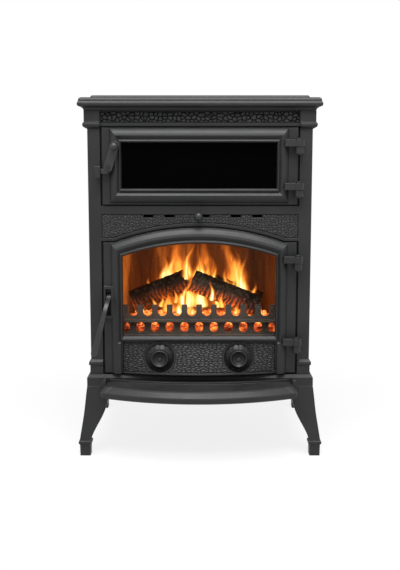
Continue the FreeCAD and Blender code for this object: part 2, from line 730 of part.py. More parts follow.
lever_edges = [
    Part.Arc(lever_point(0, r0), lever_point(-r0, 0), lever_point(0, -r0)).toShape(),
    Part.makeLine(lever_point(0, -r0), lever_point(tip, -r1)),
    Part.Arc(lever_point(tip, -r1), lever_point(tip + r1, 0), lever_point(tip, r1)).toShape(),
    Part.makeLine(lever_point(tip, r1), lever_point(0, r0)),
]
lever = Part.Face(Part.Wire(lever_edges)).extrude(V(0, LEVER, 0))
nose = box(LATCH_X - 15.0, LATCH_X, lever_y0, lever_y1, latch_z - 12, latch_z - 2)
lever = join([lever, nose])
knob_at_x = LATCH_X + knob_dx
knob_at_z = latch_z + knob_dz
lever_cuts = [rod_y(lever_y0 - 1, lever_y1 + 1, LATCH_X, latch_z, BOLT + RUN)]
lever_cuts.append(rod_y(lever_y0 - 1, lever_y1 + 1, knob_at_x, knob_at_z, 2.6))
save("oven_latch_lever", less(lever, lever_cuts))
ball_y = lever_y0 - 5.0 - KNOB
ball = Part.makeSphere(KNOB, V(knob_at_x, ball_y, knob_at_z))
neck = rod_y(ball_y, lever_y0, knob_at_x, knob_at_z, 4.0)
stud = rod_y(lever_y0, lever_y1, knob_at_x, knob_at_z, 2.5)
save("oven_latch_knob", join([ball, neck, stud]))
head_y = lever_y0 - FACE_GAP
screw_head = rod_y(head_y - 3.5, head_y, LATCH_X, latch_z, 5.5)
slot_cut = box(LATCH_X - 6, LATCH_X + 6, head_y - 4, head_y - 2.2, latch_z - 0.7, latch_z + 0.7)
screw_body = rod_y(head_y - 1, out(7), LATCH_X, latch_z, BOLT)
save("oven_latch_screw", join([screw_head.cut(slot_cut), screw_body]))
keeper_x1 = -inner + 2.5
keeper_x0 = keeper_x1 - 11.0
keeper = box(keeper_x0, keeper_x1, out(LATCH_BOSS + LEVER + 6), front, latch_z - 21, latch_z + 4)
slot_y0 = out(LATCH_BOSS + LEVER + 2)
keeper_slot = box(keeper_x1 - 6, keeper_x1 + 1, slot_y0, out(LATCH_BOSS - 2), latch_z - 15, latch_z + 5)
save("oven_latch_keeper", keeper.cut(keeper_slot))

# Fire door: arched moulding, sill under the glass and a bowed lower panel
fire_foot = base_top + DOOR_DROP
fire_radius = ARCH_RADIUS - 4.0
sill_z = base_top + APRON_TOP
fire_glass_z0 = sill_z + SILL


def fire_wire(share, distance, z0):
    x0 = DOOR_X - MOULD_HALF + STILE * share
    x1 = DOOR_X + MOULD_HALF - STILE * share
    return arch_wire(out(distance), x0, x1, z0, fire_radius - FIRE_RAIL * share)


def fire_loft(sections, levels):
    wires = []
    for (share, distance), z0 in zip(sections, levels):
        wires.append(fire_wire(share, distance, z0))
    return loft(wires)


plate_top = shoulder - DOOR_EDGE
plate_radius = ARCH_RADIUS - DOOR_EDGE
fire_plate_wire = shoulder_wire(plate_front, -plate_half, plate_half, fire_foot, plate_top, plate_radius)
fire_plate = slab(fire_plate_wire, DOOR_PLATE)
fire_outer = fire_loft(OUTER, [fire_foot] * len(OUTER))
fire_cove = fire_loft(COVE, [sill_z - 1, sill_z - 3, sill_z - 5, sill_z - 6])
fire_bead = fire_loft(BEAD, [sill_z, sill_z, sill_z + 1.5, sill_z + 3.5])
panel_x0 = DOOR_X - MOULD_HALF + STILE * 0.80
panel_x1 = DOOR_X + MOULD_HALF - STILE * 0.80
panel_cut = box(panel_x0, panel_x1, out(CROWN + 10), out(5), fire_foot - 1, sill_z)
PANEL = 8.0                 # upper edge of the lower panel in front of the pilaster face
PANEL_RIM = 3.5
PANEL_SINK = 1.5


def panel_section(z, x0, x1, rear_out, fore_out, sag):
    """Level section with a straight rear and a front that bows forward by sag."""
    a = V(x0, out(rear_out), z)
    b = V(x1, out(rear_out), z)
    c = V(x1, out(fore_out), z)
    d = V(x0, out(fore_out), z)
    crest = V((x0 + x1) / 2.0, out(fore_out + sag), z)
    edges = [Part.makeLine(a, b), Part.makeLine(b, c), Part.Arc(c, crest, d).toShape(), Part.makeLine(d, a)]
    return Part.Wire(edges)


def panel_sag(z):
    return 1.0 + APRON_BOW * (sill_z - z) / (sill_z - fire_foot)


def field_section(z, x0, x1):
    """Space in front of the sunk field of the lower panel."""
    a = V(x0, out(PANEL - PANEL_SINK), z)
    b = V(x1, out(PANEL - PANEL_SINK), z)
    c = V(x1, out(PANEL + APRON_BOW + 10), z)
    d = V(x0, out(PANEL + APRON_BOW + 10), z)
    crest = V((x0 + x1) / 2.0, out(PANEL - PANEL_SINK + panel_sag(z)), z)
    edges = [Part.Arc(a, crest, b).toShape(), Part.makeLine(b, c), Part.makeLine(c, d), Part.makeLine(d, a)]
    return Part.Wire(edges)


panel = loft([
    panel_section(fire_foot, panel_x0, panel_x1, 0.0, PANEL, panel_sag(fire_foot)),
    panel_section(sill_z, panel_x0, panel_x1, 0.0, PANEL, panel_sag(sill_z)),
])
field_x0 = panel_x0 + PANEL_RIM
field_x1 = panel_x1 - PANEL_RIM
field_z0 = fire_foot + PANEL_RIM
field_z1 = sill_z - PANEL_RIM
field = loft([field_section(field_z0, field_x0, field_x1), field_section(field_z1, field_x0, field_x1)])
panel = panel.cut(field)

handle_z = base_top + 174.0
HANDLE_X = DOOR_X - MOULD_HALF - 5.5
HANDLE_OUT = 4.0
housing = box(-plate_half, DOOR_X - MOULD_HALF + 8, out(12), plate_back, handle_z - 45, handle_z + 27)
handle_slot = box(HANDLE_X - 7.0, HANDLE_X + 5.5, out(14), plate_back + 1, handle_z - 40, handle_z + 21)
HANDLE_PIN = 3.0
pin_bore = rod_x(-plate_half - 1, HANDLE_X + 12, out(HANDLE_OUT), handle_z, HANDLE_PIN + RUN)

dial_z = base_top + DIAL_RISE
dial_xs = (DOOR_X - DIAL_SPREAD, DOOR_X + DIAL_SPREAD)
WELL_RADIUS = DIAL_RADIUS + 3.5
COLLAR_RISE = 3.0           # rim of a well in front of its seat
COLLAR_WALL = 2.0
AIR_HOLE = 18.0
HUB = 8.0
collars = []
wells = []
spiders = []
hub_bores = []
for x in dial_xs:
    collars.append(rod_y(out(DIAL_SEAT + COLLAR_RISE), out(0), x, dial_z, WELL_RADIUS + COLLAR_WALL))
    wells.append(rod_y(out(DIAL_SEAT + 40), out(DIAL_SEAT), x, dial_z, WELL_RADIUS))
    wells.append(rod_y(out(DIAL_SEAT + 1), plate_back + 1, x, dial_z, AIR_HOLE))
    spiders.append(rod_y(plate_front, plate_back, x, dial_z, HUB))
    for i in range(3):
        spoke = box(x - 3, x + 3, plate_front, plate_back, dial_z, dial_z + AIR_HOLE + 2)
        spoke.rotate(V(x, 0, dial_z), V(0, 1, 0), 120.0 * i)
        spiders.append(spoke)
    hub_bores.append(rod_y(plate_front - 1, plate_back + 1, x, dial_z, SPINDLE + RUN))

fire_door = fire_outer.fuse(fire_plate).cut(fire_cove).fuse(fire_bead).cut(panel_cut)
arms = []
for z in fire_arms:
    arms += door_arm(z)
fire_door = join([fire_door, panel, housing] + collars + arms)
fire_door = less(fire_door, [handle_slot] + wells)
fire_door = join([fire_door] + spiders)
pane_r = fire_radius - FIRE_RAIL + GLASS_LAP
fire_pane_z0 = fire_glass_z0 - GLASS_LAP
sight_levels = [fire_glass_z0 - drop for drop in (0.0, 0.0, 3.4, 6.2, 7.5)]
sight = fire_loft(SIGHT, sight_levels)
rebate_wire = arch_wire(glass_y, rebate_x0, rebate_x1, fire_pane_z0 - PANE_PLAY, pane_r + PANE_PLAY)
fire_rebate = slab(rebate_wire, GLASS + 1)
fire_screws = []
fire_clips = []
for x in clip_xs:
    fire_clips.append(clip_at(x, fire_pane_z0 - 6, fire_pane_z0 + 6))
    fire_screws.append((x, fire_pane_z0 - 3))
for x in (clip_xs[0], DOOR_X, clip_xs[1]):
    edge_z = arch_level(x, pane_r)
    fire_clips.append(clip_at(x, edge_z - 7, edge_z + 6))
    fire_screws.append((x, edge_z + 3))
fire_cuts = [sight, fire_rebate, pin_bore] + hub_bores + [eye_bore(z) for z in fire_arms]
fire_cuts += [screw_hole(x, z) for x, z in fire_screws]
save("fire_door", less(fire_door, fire_cuts))
save("fire_glass", slab(arch_wire(glass_y, pane_x0, pane_x1, fire_pane_z0, pane_r), GLASS))
clip_holes = [screw_hole(x, z) for x, z in fire_screws]
save("fire_glass_clips", Part.makeCompound([clip.cut(clip_holes) for clip in fire_clips]))
save("fire_clip_screws", Part.makeCompound([clip_screw(x, z) for x, z in fire_screws]))
rope_face = arch_wire(plate_back, DOOR_X - rope_out, DOOR_X + rope_out, base_top + 13, fire_mouth_r + 15)
rope_void = arch_wire(plate_back, DOOR_X - rope_in, DOOR_X + rope_in, base_top + 23, fire_mouth_r + 5)
save("fire_door_rope", slab(rope_face, ROPE).cut(slab(rope_void, ROPE)))

# Fire door handle: flat strap bent outward and down from a hub in the slot
HANDLE_REACH = 60.0         # grip end in front of the pilaster face
HANDLE_FALL = 114.0         # grip end below the pin
HANDLE_LEAN = 28.0          # grip end to the left of the pin
HANDLE_BEND = 34.0          # radius of the bend
STRAP = 7.0                 # thickness of the strap
STRAP_WIDTH = 8.6           # in the slot
GRIP_WIDTH = 15.0           # at the rounded end
hub = rod_x(HANDLE_X - 4.5, HANDLE_X + 4.5, out(HANDLE_OUT), handle_z, 7.5)
slope = math.hypot(HANDLE_LEAN, HANDLE_FALL)


def handle_point(outward, along):
    """Point in the plane of the handle: outward from the face, and along its slope from the pin."""
    share = along / slope
    return V(HANDLE_X - HANDLE_LEAN * share, out(outward), handle_z - HANDLE_FALL * share)


pin_point = handle_point(HANDLE_OUT, 0.0)
bend_point = handle_point(HANDLE_REACH - 22.0, 12.0)
grip_end = handle_point(HANDLE_REACH, slope)
inward = (bend_point - pin_point).normalize()
onward = (grip_end - bend_point).normalize()
turn_angle = inward.getAngle(onward)
setback = HANDLE_BEND * math.tan(turn_angle / 2.0)
bend_start = bend_point - inward * setback
bend_end = bend_point + onward * setback
bisector = (onward - inward).normalize()
bend_centre = bend_point + bisector * (HANDLE_BEND / math.cos(turn_angle / 2.0))
bend_middle = bend_centre - bisector * HANDLE_BEND
across = (bend_point - pin_point).cross(grip_end - pin_point).normalize()
off_start = (bend_start - bend_centre).normalize() * (STRAP / 2.0)
off_middle = (bend_middle - bend_centre).normalize() * (STRAP / 2.0)
off_end = (bend_end - bend_centre).normalize() * (STRAP / 2.0)
strap_edges = [
    Part.makeLine(pin_point + off_start, bend_start + off_start),
    Part.Arc(bend_start + off_start, bend_middle + off_middle, bend_end + off_end).toShape(),
    Part.makeLine(bend_end + off_end, bend_end - off_end),
    Part.Arc(bend_end - off_end, bend_middle - off_middle, bend_start - off_start).toShape(),
    Part.makeLine(bend_start - off_start, pin_point - off_start),
    Part.makeLine(pin_point - off_start, pin_point + off_start),
]
strap_side = Part.Face(Part.Wire(strap_edges))
strap_side.translate(across * (-STRAP_WIDTH / 2.0))
strap = strap_side.extrude(across * STRAP_WIDTH)
grip_root = bend_end - onward * 0.5 - off_end
grip_tip = grip_end - off_end
grip_outline = polygon([
    grip_root - across * (STRAP_WIDTH / 2.0),
    grip_tip - across * (GRIP_WIDTH / 2.0),
    grip_tip + across * (GRIP_WIDTH / 2.0),
    grip_root + across * (STRAP_WIDTH / 2.0),
])
grip = Part.Face(grip_outline).extrude(off_end * 2.0)
grip_round = Part.makeCylinder(GRIP_WIDTH / 2.0, STRAP, grip_tip, off_end)
cam = box(HANDLE_X - 4.5, HANDLE_X + 4.5, out(HANDLE_OUT), out(-7.5), handle_z - 4, handle_z + 8)
handle = join([hub, cam, strap, grip, grip_round])
handle = handle.cut(rod_x(HANDLE_X - 6, HANDLE_X + 6, out(HANDLE_OUT), handle_z, HANDLE_PIN + RUN))
save("fire_handle", handle)
save("fire_handle_pin", rod_x(-plate_half, HANDLE_X + 11, out(HANDLE_OUT), handle_z, HANDLE_PIN))
strike = box(HANDLE_X - 7, HANDLE_X + 7, out(-DOOR_BACK - 1.5), out(-POCKET), handle_z + 11, handle_z + 23)
save("fire_door_strike", strike)


# Air dials on spindles
def air_dial(x):
    y0 = out(DIAL_SEAT + DIAL_OPEN)
    points = [
        (0.0, 0.0),
        (DIAL_RADIUS, 0.0),
        (DIAL_RADIUS, 4.5),
        (DIAL_RADIUS - 2.0, 6.5),
        (21.0, 13.0),
        (18.8, 18.0),
        (18.8, 22.0),
        (17.0, 23.0),
        (15.4, 21.6),
        (12.0, 17.4),
        (7.0, 15.0),
        (0.0, 14.4),
    ]
    turned = polygon([V(x + r, y0 - h, dial_z) for r, h in points])
    shape = Part.Face(turned).revolve(V(x, y0, dial_z), V(0, 1, 0), 360.0)
    notches = []
    for i in range(14):
        angle = math.radians(360.0 / 14 * (i + 0.5))
        nx = x + (DIAL_RADIUS + 2.6) * math.cos(angle)
        nz = dial_z + (DIAL_RADIUS + 2.6) * math.sin(angle)
        notches.append(rod_y(y0 - 8, y0 + 1, nx, nz, 4.6))
    marks = []
    for i in range(5):
        length = 2.5 + 0.9 * i
        mark = box(x - 0.9, x + 0.9, y0 - 12.5, y0 - 6.5, dial_z + 26.0 - length, dial_z + 26.0)
        mark.rotate(V(x, y0, dial_z), V(0, 1, 0), -60.0 + 30.0 * i)
        marks.append(mark)
    shape = less(join([shape] + marks), notches)
    return shape.cut(rod_y(y0 - 40, y0 + 1, x, dial_z, SPINDLE + RUN))


def air_spindle(x):
    stem = rod_y(out(DIAL_SEAT + DIAL_OPEN + 20), plate_back + FACE_GAP + 3, x, dial_z, SPINDLE)
    rear_collar = rod_y(plate_back + FACE_GAP, plate_back + FACE_GAP + 3, x, dial_z, SPINDLE + 2.5)
    fore_collar = rod_y(plate_front - FACE_GAP - 2, plate_front - FACE_GAP, x, dial_z, SPINDLE + 2.5)
    return join([stem, rear_collar, fore_collar])


save("air_dial_left", air_dial(dial_xs[0]))
save("air_dial_right", air_dial(dial_xs[1]))
save("air_spindle_left", air_spindle(dial_xs[0]))
save("air_spindle_right", air_spindle(dial_xs[1]))

# Sliding air shutter behind the air panel
shutter_y = frame_back + FACE_GAP
SHUTTER = 3.0
VENT_LENGTH = SLIDE_TRAVEL - 3.0
SHUTTER_END = 18.0          # shutter beyond its outer vents
vent_xs = [slot_mid + s - SLIDE_TRAVEL for s in SLOT_SPOTS]
shutter_x0 = vent_xs[0] - SHUTTER_END
shutter_x1 = vent_xs[-1] + SLIDE_TRAVEL + SHUTTER_END
shutter = box(shutter_x0, shutter_x1, shutter_y, shutter_y + SHUTTER, slot_z - 9, slot_z + 9)
vents = [air_slot(x, shutter_y - 1, shutter_y + SHUTTER + 1, VENT_LENGTH) for x in vent_xs]
shutter = less(shutter, vents)
SLIDE_STEM = 2.5
KNOB_OUT = 18.0
shutter = join([shutter, rod_y(out(KNOB_OUT - 4), shutter_y + 1, knob_x, slot_z, SLIDE_STEM)])
save("air_slider", shutter)
slide_ball = Part.makeSphere(KNOB, V(knob_x, out(KNOB_OUT), slot_z))
save("air_slider_knob", slide_ball.cut(rod_y(out(KNOB_OUT - 4), front, knob_x, slot_z, SLIDE_STEM + RUN)))
guides = []
guide = SHUTTER + 2.0 * FACE_GAP
for s in (-97.0, 97.0):
    x = slot_mid + s
    upper = box(x - 8, x + 8, frame_back, frame_back + guide, slot_z + 9 + FACE_GAP, slot_z + 17)
    lower = box(x - 8, x + 8, frame_back, frame_back + guide, slot_z - 17, slot_z - 9 - FACE_GAP)
    strap = box(x - 8, x + 8, frame_back + guide, frame_back + guide + 2, slot_z - 17, slot_z + 17)
    guides.append(join([upper, lower, strap]))
save("air_slider_guides", Part.makeCompound(guides))

# Oven liner and rack
liner_x0 = mouth_x0 - 1
liner_x1 = mouth_x1 + 1
liner_z0 = oven_mouth_z0 - 1
liner_z1 = oven_mouth_z1 + 1
oven_back = back - 75.0
t = OVEN_SHEET
shell = box(liner_x0 - t, liner_x1 + t, frame_back, oven_back, liner_z0 - t, liner_z1 + t)
lap = box(liner_x0 - 14, liner_x1 + 14, frame_back, frame_back + t, liner_z0 - 14, liner_z1 + 14)
cavity = box(liner_x0, liner_x1, frame_back - 1, oven_back - t, liner_z0, liner_z1)
RACK_RISE = 42.0
rack_z = liner_z0 + RACK_RISE
LEDGE = 9.0
ledges = [
    box(liner_x0 - 1, liner_x0 + LEDGE, frame_back + 6, oven_back - t + 1, rack_z - 4, rack_z),
    box(liner_x1 - LEDGE, liner_x1 + 1, frame_back + 6, oven_back - t + 1, rack_z - 4, rack_z),
]
save("oven_liner", join([join([shell, lap]).cut(cavity)] + ledges))
rack_y0 = frame_back + 12
rack_y1 = oven_back - t - 6
wires = []
for x in (liner_x0 + 5, liner_x1 - 5):
    wires.append(rod_y(rack_y0, rack_y1, x, rack_z + 3 + RUN, 3.0))
count = 12
for i in range(count):
    y = rack_y0 + 8 + (rack_y1 - rack_y0 - 16) * i / (count - 1.0)
    wires.append(rod_x(liner_x0 + 5, liner_x1 - 5, y, rack_z + 3 + RUN, 2.0))
save("oven_rack", join(wires))

# Firebox: floor, grate, liners, baffle
liner_top = air_top + 4.0
GRATE_SIDE = 28.0           # floor between a side brick and the grate
GRATE_REAR = 39.0           # floor between the back brick and the grate
GRATE_HALF = wall_in - LINER - GRATE_SIDE
grate_y0 = frame_back + 70.0
grate_y1 = back_in - LINER - GRATE_REAR
floor = join([
    box(-wall_in + 0.5, wall_in - 0.5, frame_back, back - FRAME, floor_under, floor_top),
    box(-inner + 0.5, inner - 0.5, back - FRAME - 1, back_in, floor_under, floor_top),
])
seat = box(-GRATE_HALF, GRATE_HALF, grate_y0, grate_y1, floor_top - FLOOR_PLATE / 2, floor_top + 1)
drop = box(-GRATE_HALF + 8, GRATE_HALF - 8, grate_y0 + 8, grate_y1 - 8, floor_under - 1, floor_top)
rod_room = [rod_z(floor_under - 1, floor_top + 1, x, y, ROD + 2) for x, y in corners]
floor = less(floor, [seat, drop] + rod_room)
save("firebox_floor", floor)
GRATE = 14.0
grate_z = floor_top - FLOOR_PLATE / 2
grate = box(-GRATE_HALF + 1, GRATE_HALF - 1, grate_y0 + 1, grate_y1 - 1, grate_z, grate_z + GRATE)
bars = []
grate_mid = (grate_y0 + grate_y1) / 2.0
gap_count = 17
for i in range(gap_count):
    x = -GRATE_HALF + 22 + (2 * GRATE_HALF - 44) * i / (gap_count - 1.0)
    bars.append(box(x - 5, x + 5, grate_y0 + 18, grate_mid - 5, grate_z - 1, grate_z + GRATE + 1))
    bars.append(box(x - 5, x + 5, grate_mid + 5, grate_y1 - 18, grate_z - 1, grate_z + GRATE + 1))
save("fire_grate", less(grate, bars))
brick_y0 = frame_back + 30
brick_y1 = back - FRAME - 30
save("liner_left", box(-wall_in, -wall_in + LINER, brick_y0, brick_y1, floor_top, liner_top))
save("liner_right", box(wall_in - LINER, wall_in, brick_y0, brick_y1, floor_top, liner_top))
rear_half = wall_in - LINER - 0.5
save("liner_back", box(-rear_half, rear_half, back_in - LINER, back_in, floor_top, liner_top))
BAFFLE = 8.0
baffle = box(-wall_in + 1, wall_in - 1, frame_back + 85, brick_y1, liner_top, liner_top + BAFFLE)
baffle_tail = box(-rear_half, rear_half, brick_y1 - 1, back_in, liner_top, liner_top + BAFFLE)
save("baffle_plate", join([baffle, baffle_tail]))

# Log guard with notched top, ledge and oval openings
GUARD = 10.0
guard_y = frame_back + 38.0
guard_top = floor_top + 68.0
GUARD_END = 8.0             # side brick to the end of the guard
GUARD_HALF = wall_in - LINER - GUARD_END
GUARD_PITCH = (GUARD_HALF - 28.0) / 5.0
NOTCH = GUARD_PITCH * 21.0 / 68.0   # half width of a notch in the top
OVAL = GUARD_PITCH * 19.0 / 68.0    # half width of an oval
guard_x0 = DOOR_X - GUARD_HALF
guard_x1 = DOOR_X + GUARD_HALF
guard = box(guard_x0, guard_x1, guard_y, guard_y + GUARD, floor_top, guard_top)
guard = guard.fuse(box(guard_x0, guard_x1, guard_y - 12, guard_y + 1, floor_top + 30, floor_top + 36))
guard_cuts = []
cut_y0 = guard_y - 13.0
cut_y1 = guard_y + GUARD + 1.0
notch_z = floor_top + 52.0
for i in range(10):
    x = DOOR_X + GUARD_PITCH * (i - 4.5)
    guard_cuts.append(box(x - NOTCH, x + NOTCH, cut_y0, cut_y1, notch_z, guard_top + 1))
    guard_cuts.append(rod_y(cut_y0, cut_y1, x, notch_z, NOTCH))
for i in range(11):
    x = DOOR_X + GUARD_PITCH * (i - 5)
    guard_cuts.append(box(x - OVAL, x + OVAL, cut_y0, cut_y1, floor_top + 13, floor_top + 19))
    guard_cuts.append(rod_y(cut_y0, cut_y1, x, floor_top + 13, OVAL))
    guard_cuts.append(rod_y(cut_y0, cut_y1, x, floor_top + 19, OVAL))
save("log_guard", less(guard.removeSplitter(), guard_cuts))

# Ash pan on the base plate rails
pan_z = base_top + PAN_RAIL
PAN_HEIGHT = 38.0
pan = box(-PAN_HALF, PAN_HALF, pan_y0, pan_y1, pan_z, pan_z + PAN_HEIGHT)
pan = pan.cut(box(-PAN_HALF + 2, PAN_HALF - 2, pan_y0 + 2, pan_y1 - 2, pan_z + 2, pan_z + PAN_HEIGHT + 1))
grip = box(-32, 32, pan_y0 - 16, pan_y0 + 1, pan_z + 24, pan_z + 28)
grip = grip.cut(box(-25, 25, pan_y0 - 10, pan_y0 - 0.5, pan_z + 23, pan_z + 29))
save("ash_pan", join([pan, grip]))

# Fire: ember bed and three split logs leaning on each other
bed_z = grate_z + GRATE
BED = 17.0
BED_EDGE = 6.0
bed_x = GRATE_HALF - BED_EDGE
bed_y0 = grate_y0 + BED_EDGE
bed_y1 = grate_y1 - BED_EDGE


def bed_section(z, shrink):
    y0 = bed_y0 + shrink
    y1 = bed_y1 - shrink
    x = bed_x - shrink
    return polygon([V(-x, y0, z), V(x, y0, z), V(x, y1, z), V(-x, y1, z)])


save("ember_bed", loft([bed_section(bed_z, 0.0), bed_section(bed_z + BED, 8.0)]))
bed_top = bed_z + BED
log_unit = (bed_y1 - bed_y0) / 89.0
LOG_REAR = 12.0 * log_unit
LOG_LEFT = 15.0 * log_unit
LOG_RIGHT = 14.0 * log_unit
REST = 0.2
LOG_ROOM = 8.0              # rear log to the back edge of the bed
rear_log_y = bed_y1 - LOG_ROOM - LOG_REAR
left_log_y = rear_log_y - LOG_REAR - LOG_LEFT - REST
right_log_y = left_log_y - LOG_LEFT - LOG_RIGHT - REST


def leaning_log(x, y, side, radius, length, degrees):
    """Log whose low end stands on the bed at x and whose high end points to side."""
    angle = math.radians(degrees)
    z = bed_top + REST + radius * math.cos(angle)
    return Part.makeCylinder(radius, length, V(x, y, z), V(side * math.cos(angle), 0, math.sin(angle)))


save("log_rear", leaning_log(bed_x - 20, rear_log_y, -1, LOG_REAR, bed_x - 42, 20.0))
save("log_left", leaning_log(-bed_x + 8, left_log_y, 1, LOG_LEFT, bed_x - 28, 22.0))
save("log_right", leaning_log(bed_x - 34, right_log_y, -1, LOG_RIGHT, bed_x - 4, 22.0))
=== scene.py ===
import math
import random

import bmesh
import bpy
from bpy.props import FloatProperty, FloatVectorProperty, IntProperty, PointerProperty
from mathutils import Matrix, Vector


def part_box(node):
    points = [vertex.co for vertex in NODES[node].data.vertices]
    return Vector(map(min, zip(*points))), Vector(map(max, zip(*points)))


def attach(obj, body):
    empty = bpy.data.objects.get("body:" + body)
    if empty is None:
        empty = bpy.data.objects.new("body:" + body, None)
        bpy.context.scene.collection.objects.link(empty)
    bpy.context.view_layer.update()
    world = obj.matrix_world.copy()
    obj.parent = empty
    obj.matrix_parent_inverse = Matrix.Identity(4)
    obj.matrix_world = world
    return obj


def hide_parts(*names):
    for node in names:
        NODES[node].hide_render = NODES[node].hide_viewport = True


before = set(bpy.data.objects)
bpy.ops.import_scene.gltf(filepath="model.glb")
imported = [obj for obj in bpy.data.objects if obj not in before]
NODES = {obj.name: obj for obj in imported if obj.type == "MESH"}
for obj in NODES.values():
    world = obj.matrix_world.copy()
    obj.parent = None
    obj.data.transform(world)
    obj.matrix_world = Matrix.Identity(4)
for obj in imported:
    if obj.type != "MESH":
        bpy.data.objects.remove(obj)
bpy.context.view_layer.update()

bl_info = {
    "name": "Cast iron stove with oven",
    "version": (1, 0, 0),
    "blender": (4, 5, 0),
    "location": "3D View > Sidebar > Stove",
    "description": "Finishes, relief castings, fire and stage of a small cast iron stove",
    "category": "Object",
}

MM = 0.001

# Places on the front, in metres
DOOR_X = -0.002  # middle of the doors and of the arch
ARCH_Z = -0.038  # centre of the arch
PILASTER_Y = -0.150  # front face of the pilasters
BAND_HALF = 0.2165  # half width of the frieze and of the air panel
FRIEZE_Z = (0.7415, 0.7655)
FRIEZE_Y = -0.147
AIR_PANEL_Z = (0.4905, 0.5428)
AIR_PANEL_Y = -0.1475
AIR_PANEL_ARCH = 0.5615  # radius of the air panel's lower edge
AIR_SLOTS = (-0.114, -0.067, 0.079, 0.126)
SLOT_HALF = 0.0115
SLOT_Z = (0.5355, 0.5425)
KNOB_SLOT = (-0.008, 0.022)  # ends of the middle slot, under the knob
PANEL_X = (-0.1722, 0.1682)  # ends of the lower door panel's field
PANEL_Z = (0.191, 0.257)
PANEL_HALF = 0.1742  # half width of the bowed panel
PANEL_TOP = 0.261
PANEL_TALL = 0.074
PANEL_SET = 0.0065  # panel field in front of the pilaster face
PANEL_BOW = 22.0  # bow at the panel's foot, in millimetres
DIAL_WELL = 0.0350  # radius kept bare around a dial

# Relief and fire
RIM = 0.0016  # width of the plain rim of a relief panel
SINK = 0.0003  # depth that the rim dips into the casting
CHECK_PITCH = 0.0095  # spacing of the cracks across a burning log
BARK_AROUND = 72  # points around a log
BARK_PITCH = 0.0028  # spacing of the points along a log
END_RINGS = 8  # growth rings on the end of a log
END_DISH = 0.0008  # depth of those rings
HEART_X = -0.02  # middle of the fire
GLOW_Z = 0.379  # top of the glow on the logs there
GLOW_FALL = 0.30  # fall of that height to both sides
GLOW_FADE = 0.05
FIRE_HALF = 0.17
EMBER_MARGIN = 0.008  # lumps stay inside the ember bed
EMBER_PITCH = 0.006
EMBER_UNEVEN = 0.002
FLAME_SEED = 40
IRON_GLOSS = 0.3  # specular level of stove black

# Stage
CAMERA_PLACE = (0.0, -2.1097, 0.6674)
CAMERA_TILT = 81.82  # degrees from straight down
CAMERA_LENS = 56.2
FLOOR_HALF = 4.0
WORLD_FILL = 0.30  # world strength on matt surfaces
LAMPS = (
    # name, place, target, width, watts
    ("top_lamp", (0.0, -1.1, 2.5), (0.0, 0.0, 0.5), 1.8, 105.0),
    ("left_lamp", (-1.9, -1.5, 1.5), (0.0, 0.0, 0.45), 1.2, 8.0),
    ("right_lamp", (1.9, -1.5, 1.5), (0.0, 0.0, 0.45), 1.2, 8.0),
)


def size(label, text, value, low=0.0):
    """Length property in metres."""
    return FloatProperty(name=label, description=text, default=value, min=low, unit="LENGTH", precision=5)


def colour(label, text, value):
    """Linear colour property."""
    limits = {"size": 3, "min": 0.0, "max": 1.0}
    return FloatVectorProperty(name=label, description=text, default=value, subtype="COLOR", **limits)


class StoveSizes(bpy.types.PropertyGroup):
    """Sizes a user would change."""
    cobble: size("Cobble", "Mean width of a cobble on the top frieze", 0.0100)
    cobble_rise: size("Cobble rise", "Height of a cobble above its joint", 0.0026)
    pebble: size("Pebble", "Mean width of a pebble on the air panel", 0.0062)
    pebble_rise: size("Pebble rise", "Height of a pebble above its joint", 0.0018)
    scale_width: size("Scale", "Mean width of a cell on the lower door panel", 0.0066)
    scale_rise: size("Scale rise", "Height of a cell above its joint", 0.0017)
    edge_round: size("Edge round", "Radius of the cast edges", 0.0016)
    lump: size("Ember", "Mean width of a piece of charcoal", 0.017)
    bark_depth: size("Bark depth", "Depth of the furrows in the bark", 0.0032)
    flame_rise: FloatProperty(
        name="Flame rise", description="Height of the flames against a fire well alight",
        default=1.0, min=0.0, max=1.3,
    )
    seed: IntProperty(name="Seed", description="Seed of everything scattered", default=7)


class StoveColours(bpy.types.PropertyGroup):
    """Colours a user would change."""
    iron: colour("Blacked iron", "Satin stove black on the body", (0.0125, 0.0127, 0.0132))
    door_iron: colour("Door iron", "Satin stove black on the doors", (0.0120, 0.0122, 0.0127))
    fittings: colour("Fittings", "Knobs, levers and hinge pins", (0.0115, 0.0115, 0.0120))
    raw_iron: colour("Raw iron", "Grate, guard and other fired castings", (0.055, 0.046, 0.038))
    sheet: colour("Sheet", "Oven liner and ash pan", (0.060, 0.060, 0.062))
    steel: colour("Steel", "Bolts, rods and clips", (0.20, 0.20, 0.21))
    aged_steel: colour("Aged steel", "Pivot screw, pins and spindles", (0.055, 0.055, 0.057))
    rope: colour("Rope", "Woven door rope", (0.10, 0.10, 0.10))
    brick: colour("Brick", "Fireclay liners", (0.26, 0.15, 0.085))
    bark: colour("Bark", "Charred bark", (0.048, 0.031, 0.021))
    ember: colour("Ember", "Glowing charcoal", (1.0, 0.16, 0.02))
    flame: colour("Flame", "Body of the flames", (1.0, 0.28, 0.03))
    flame_heart: colour("Flame heart", "Hottest part of the flames", (1.0, 0.72, 0.25))
    floor: colour("Floor", "Studio floor", (0.86, 0.86, 0.86))


def sizes():
    return bpy.context.scene.stove_sizes


def colours():
    return bpy.context.scene.stove_colours


# Node trees


def wire(tree, node, links):
    """Sets or links the inputs of a node."""
    for key, value in links.items():
        socket = node.inputs[key]
        if isinstance(value, bpy.types.NodeSocket):
            tree.links.new(value, socket)
        else:
            socket.default_value = value


def put(tree, kind, links=None, **settings):
    """Adds a node, sets its options, and sets or links its inputs."""
    made = tree.nodes.new(kind)
    for key, value in settings.items():
        setattr(made, key, value)
    wire(tree, made, links or {})
    return made


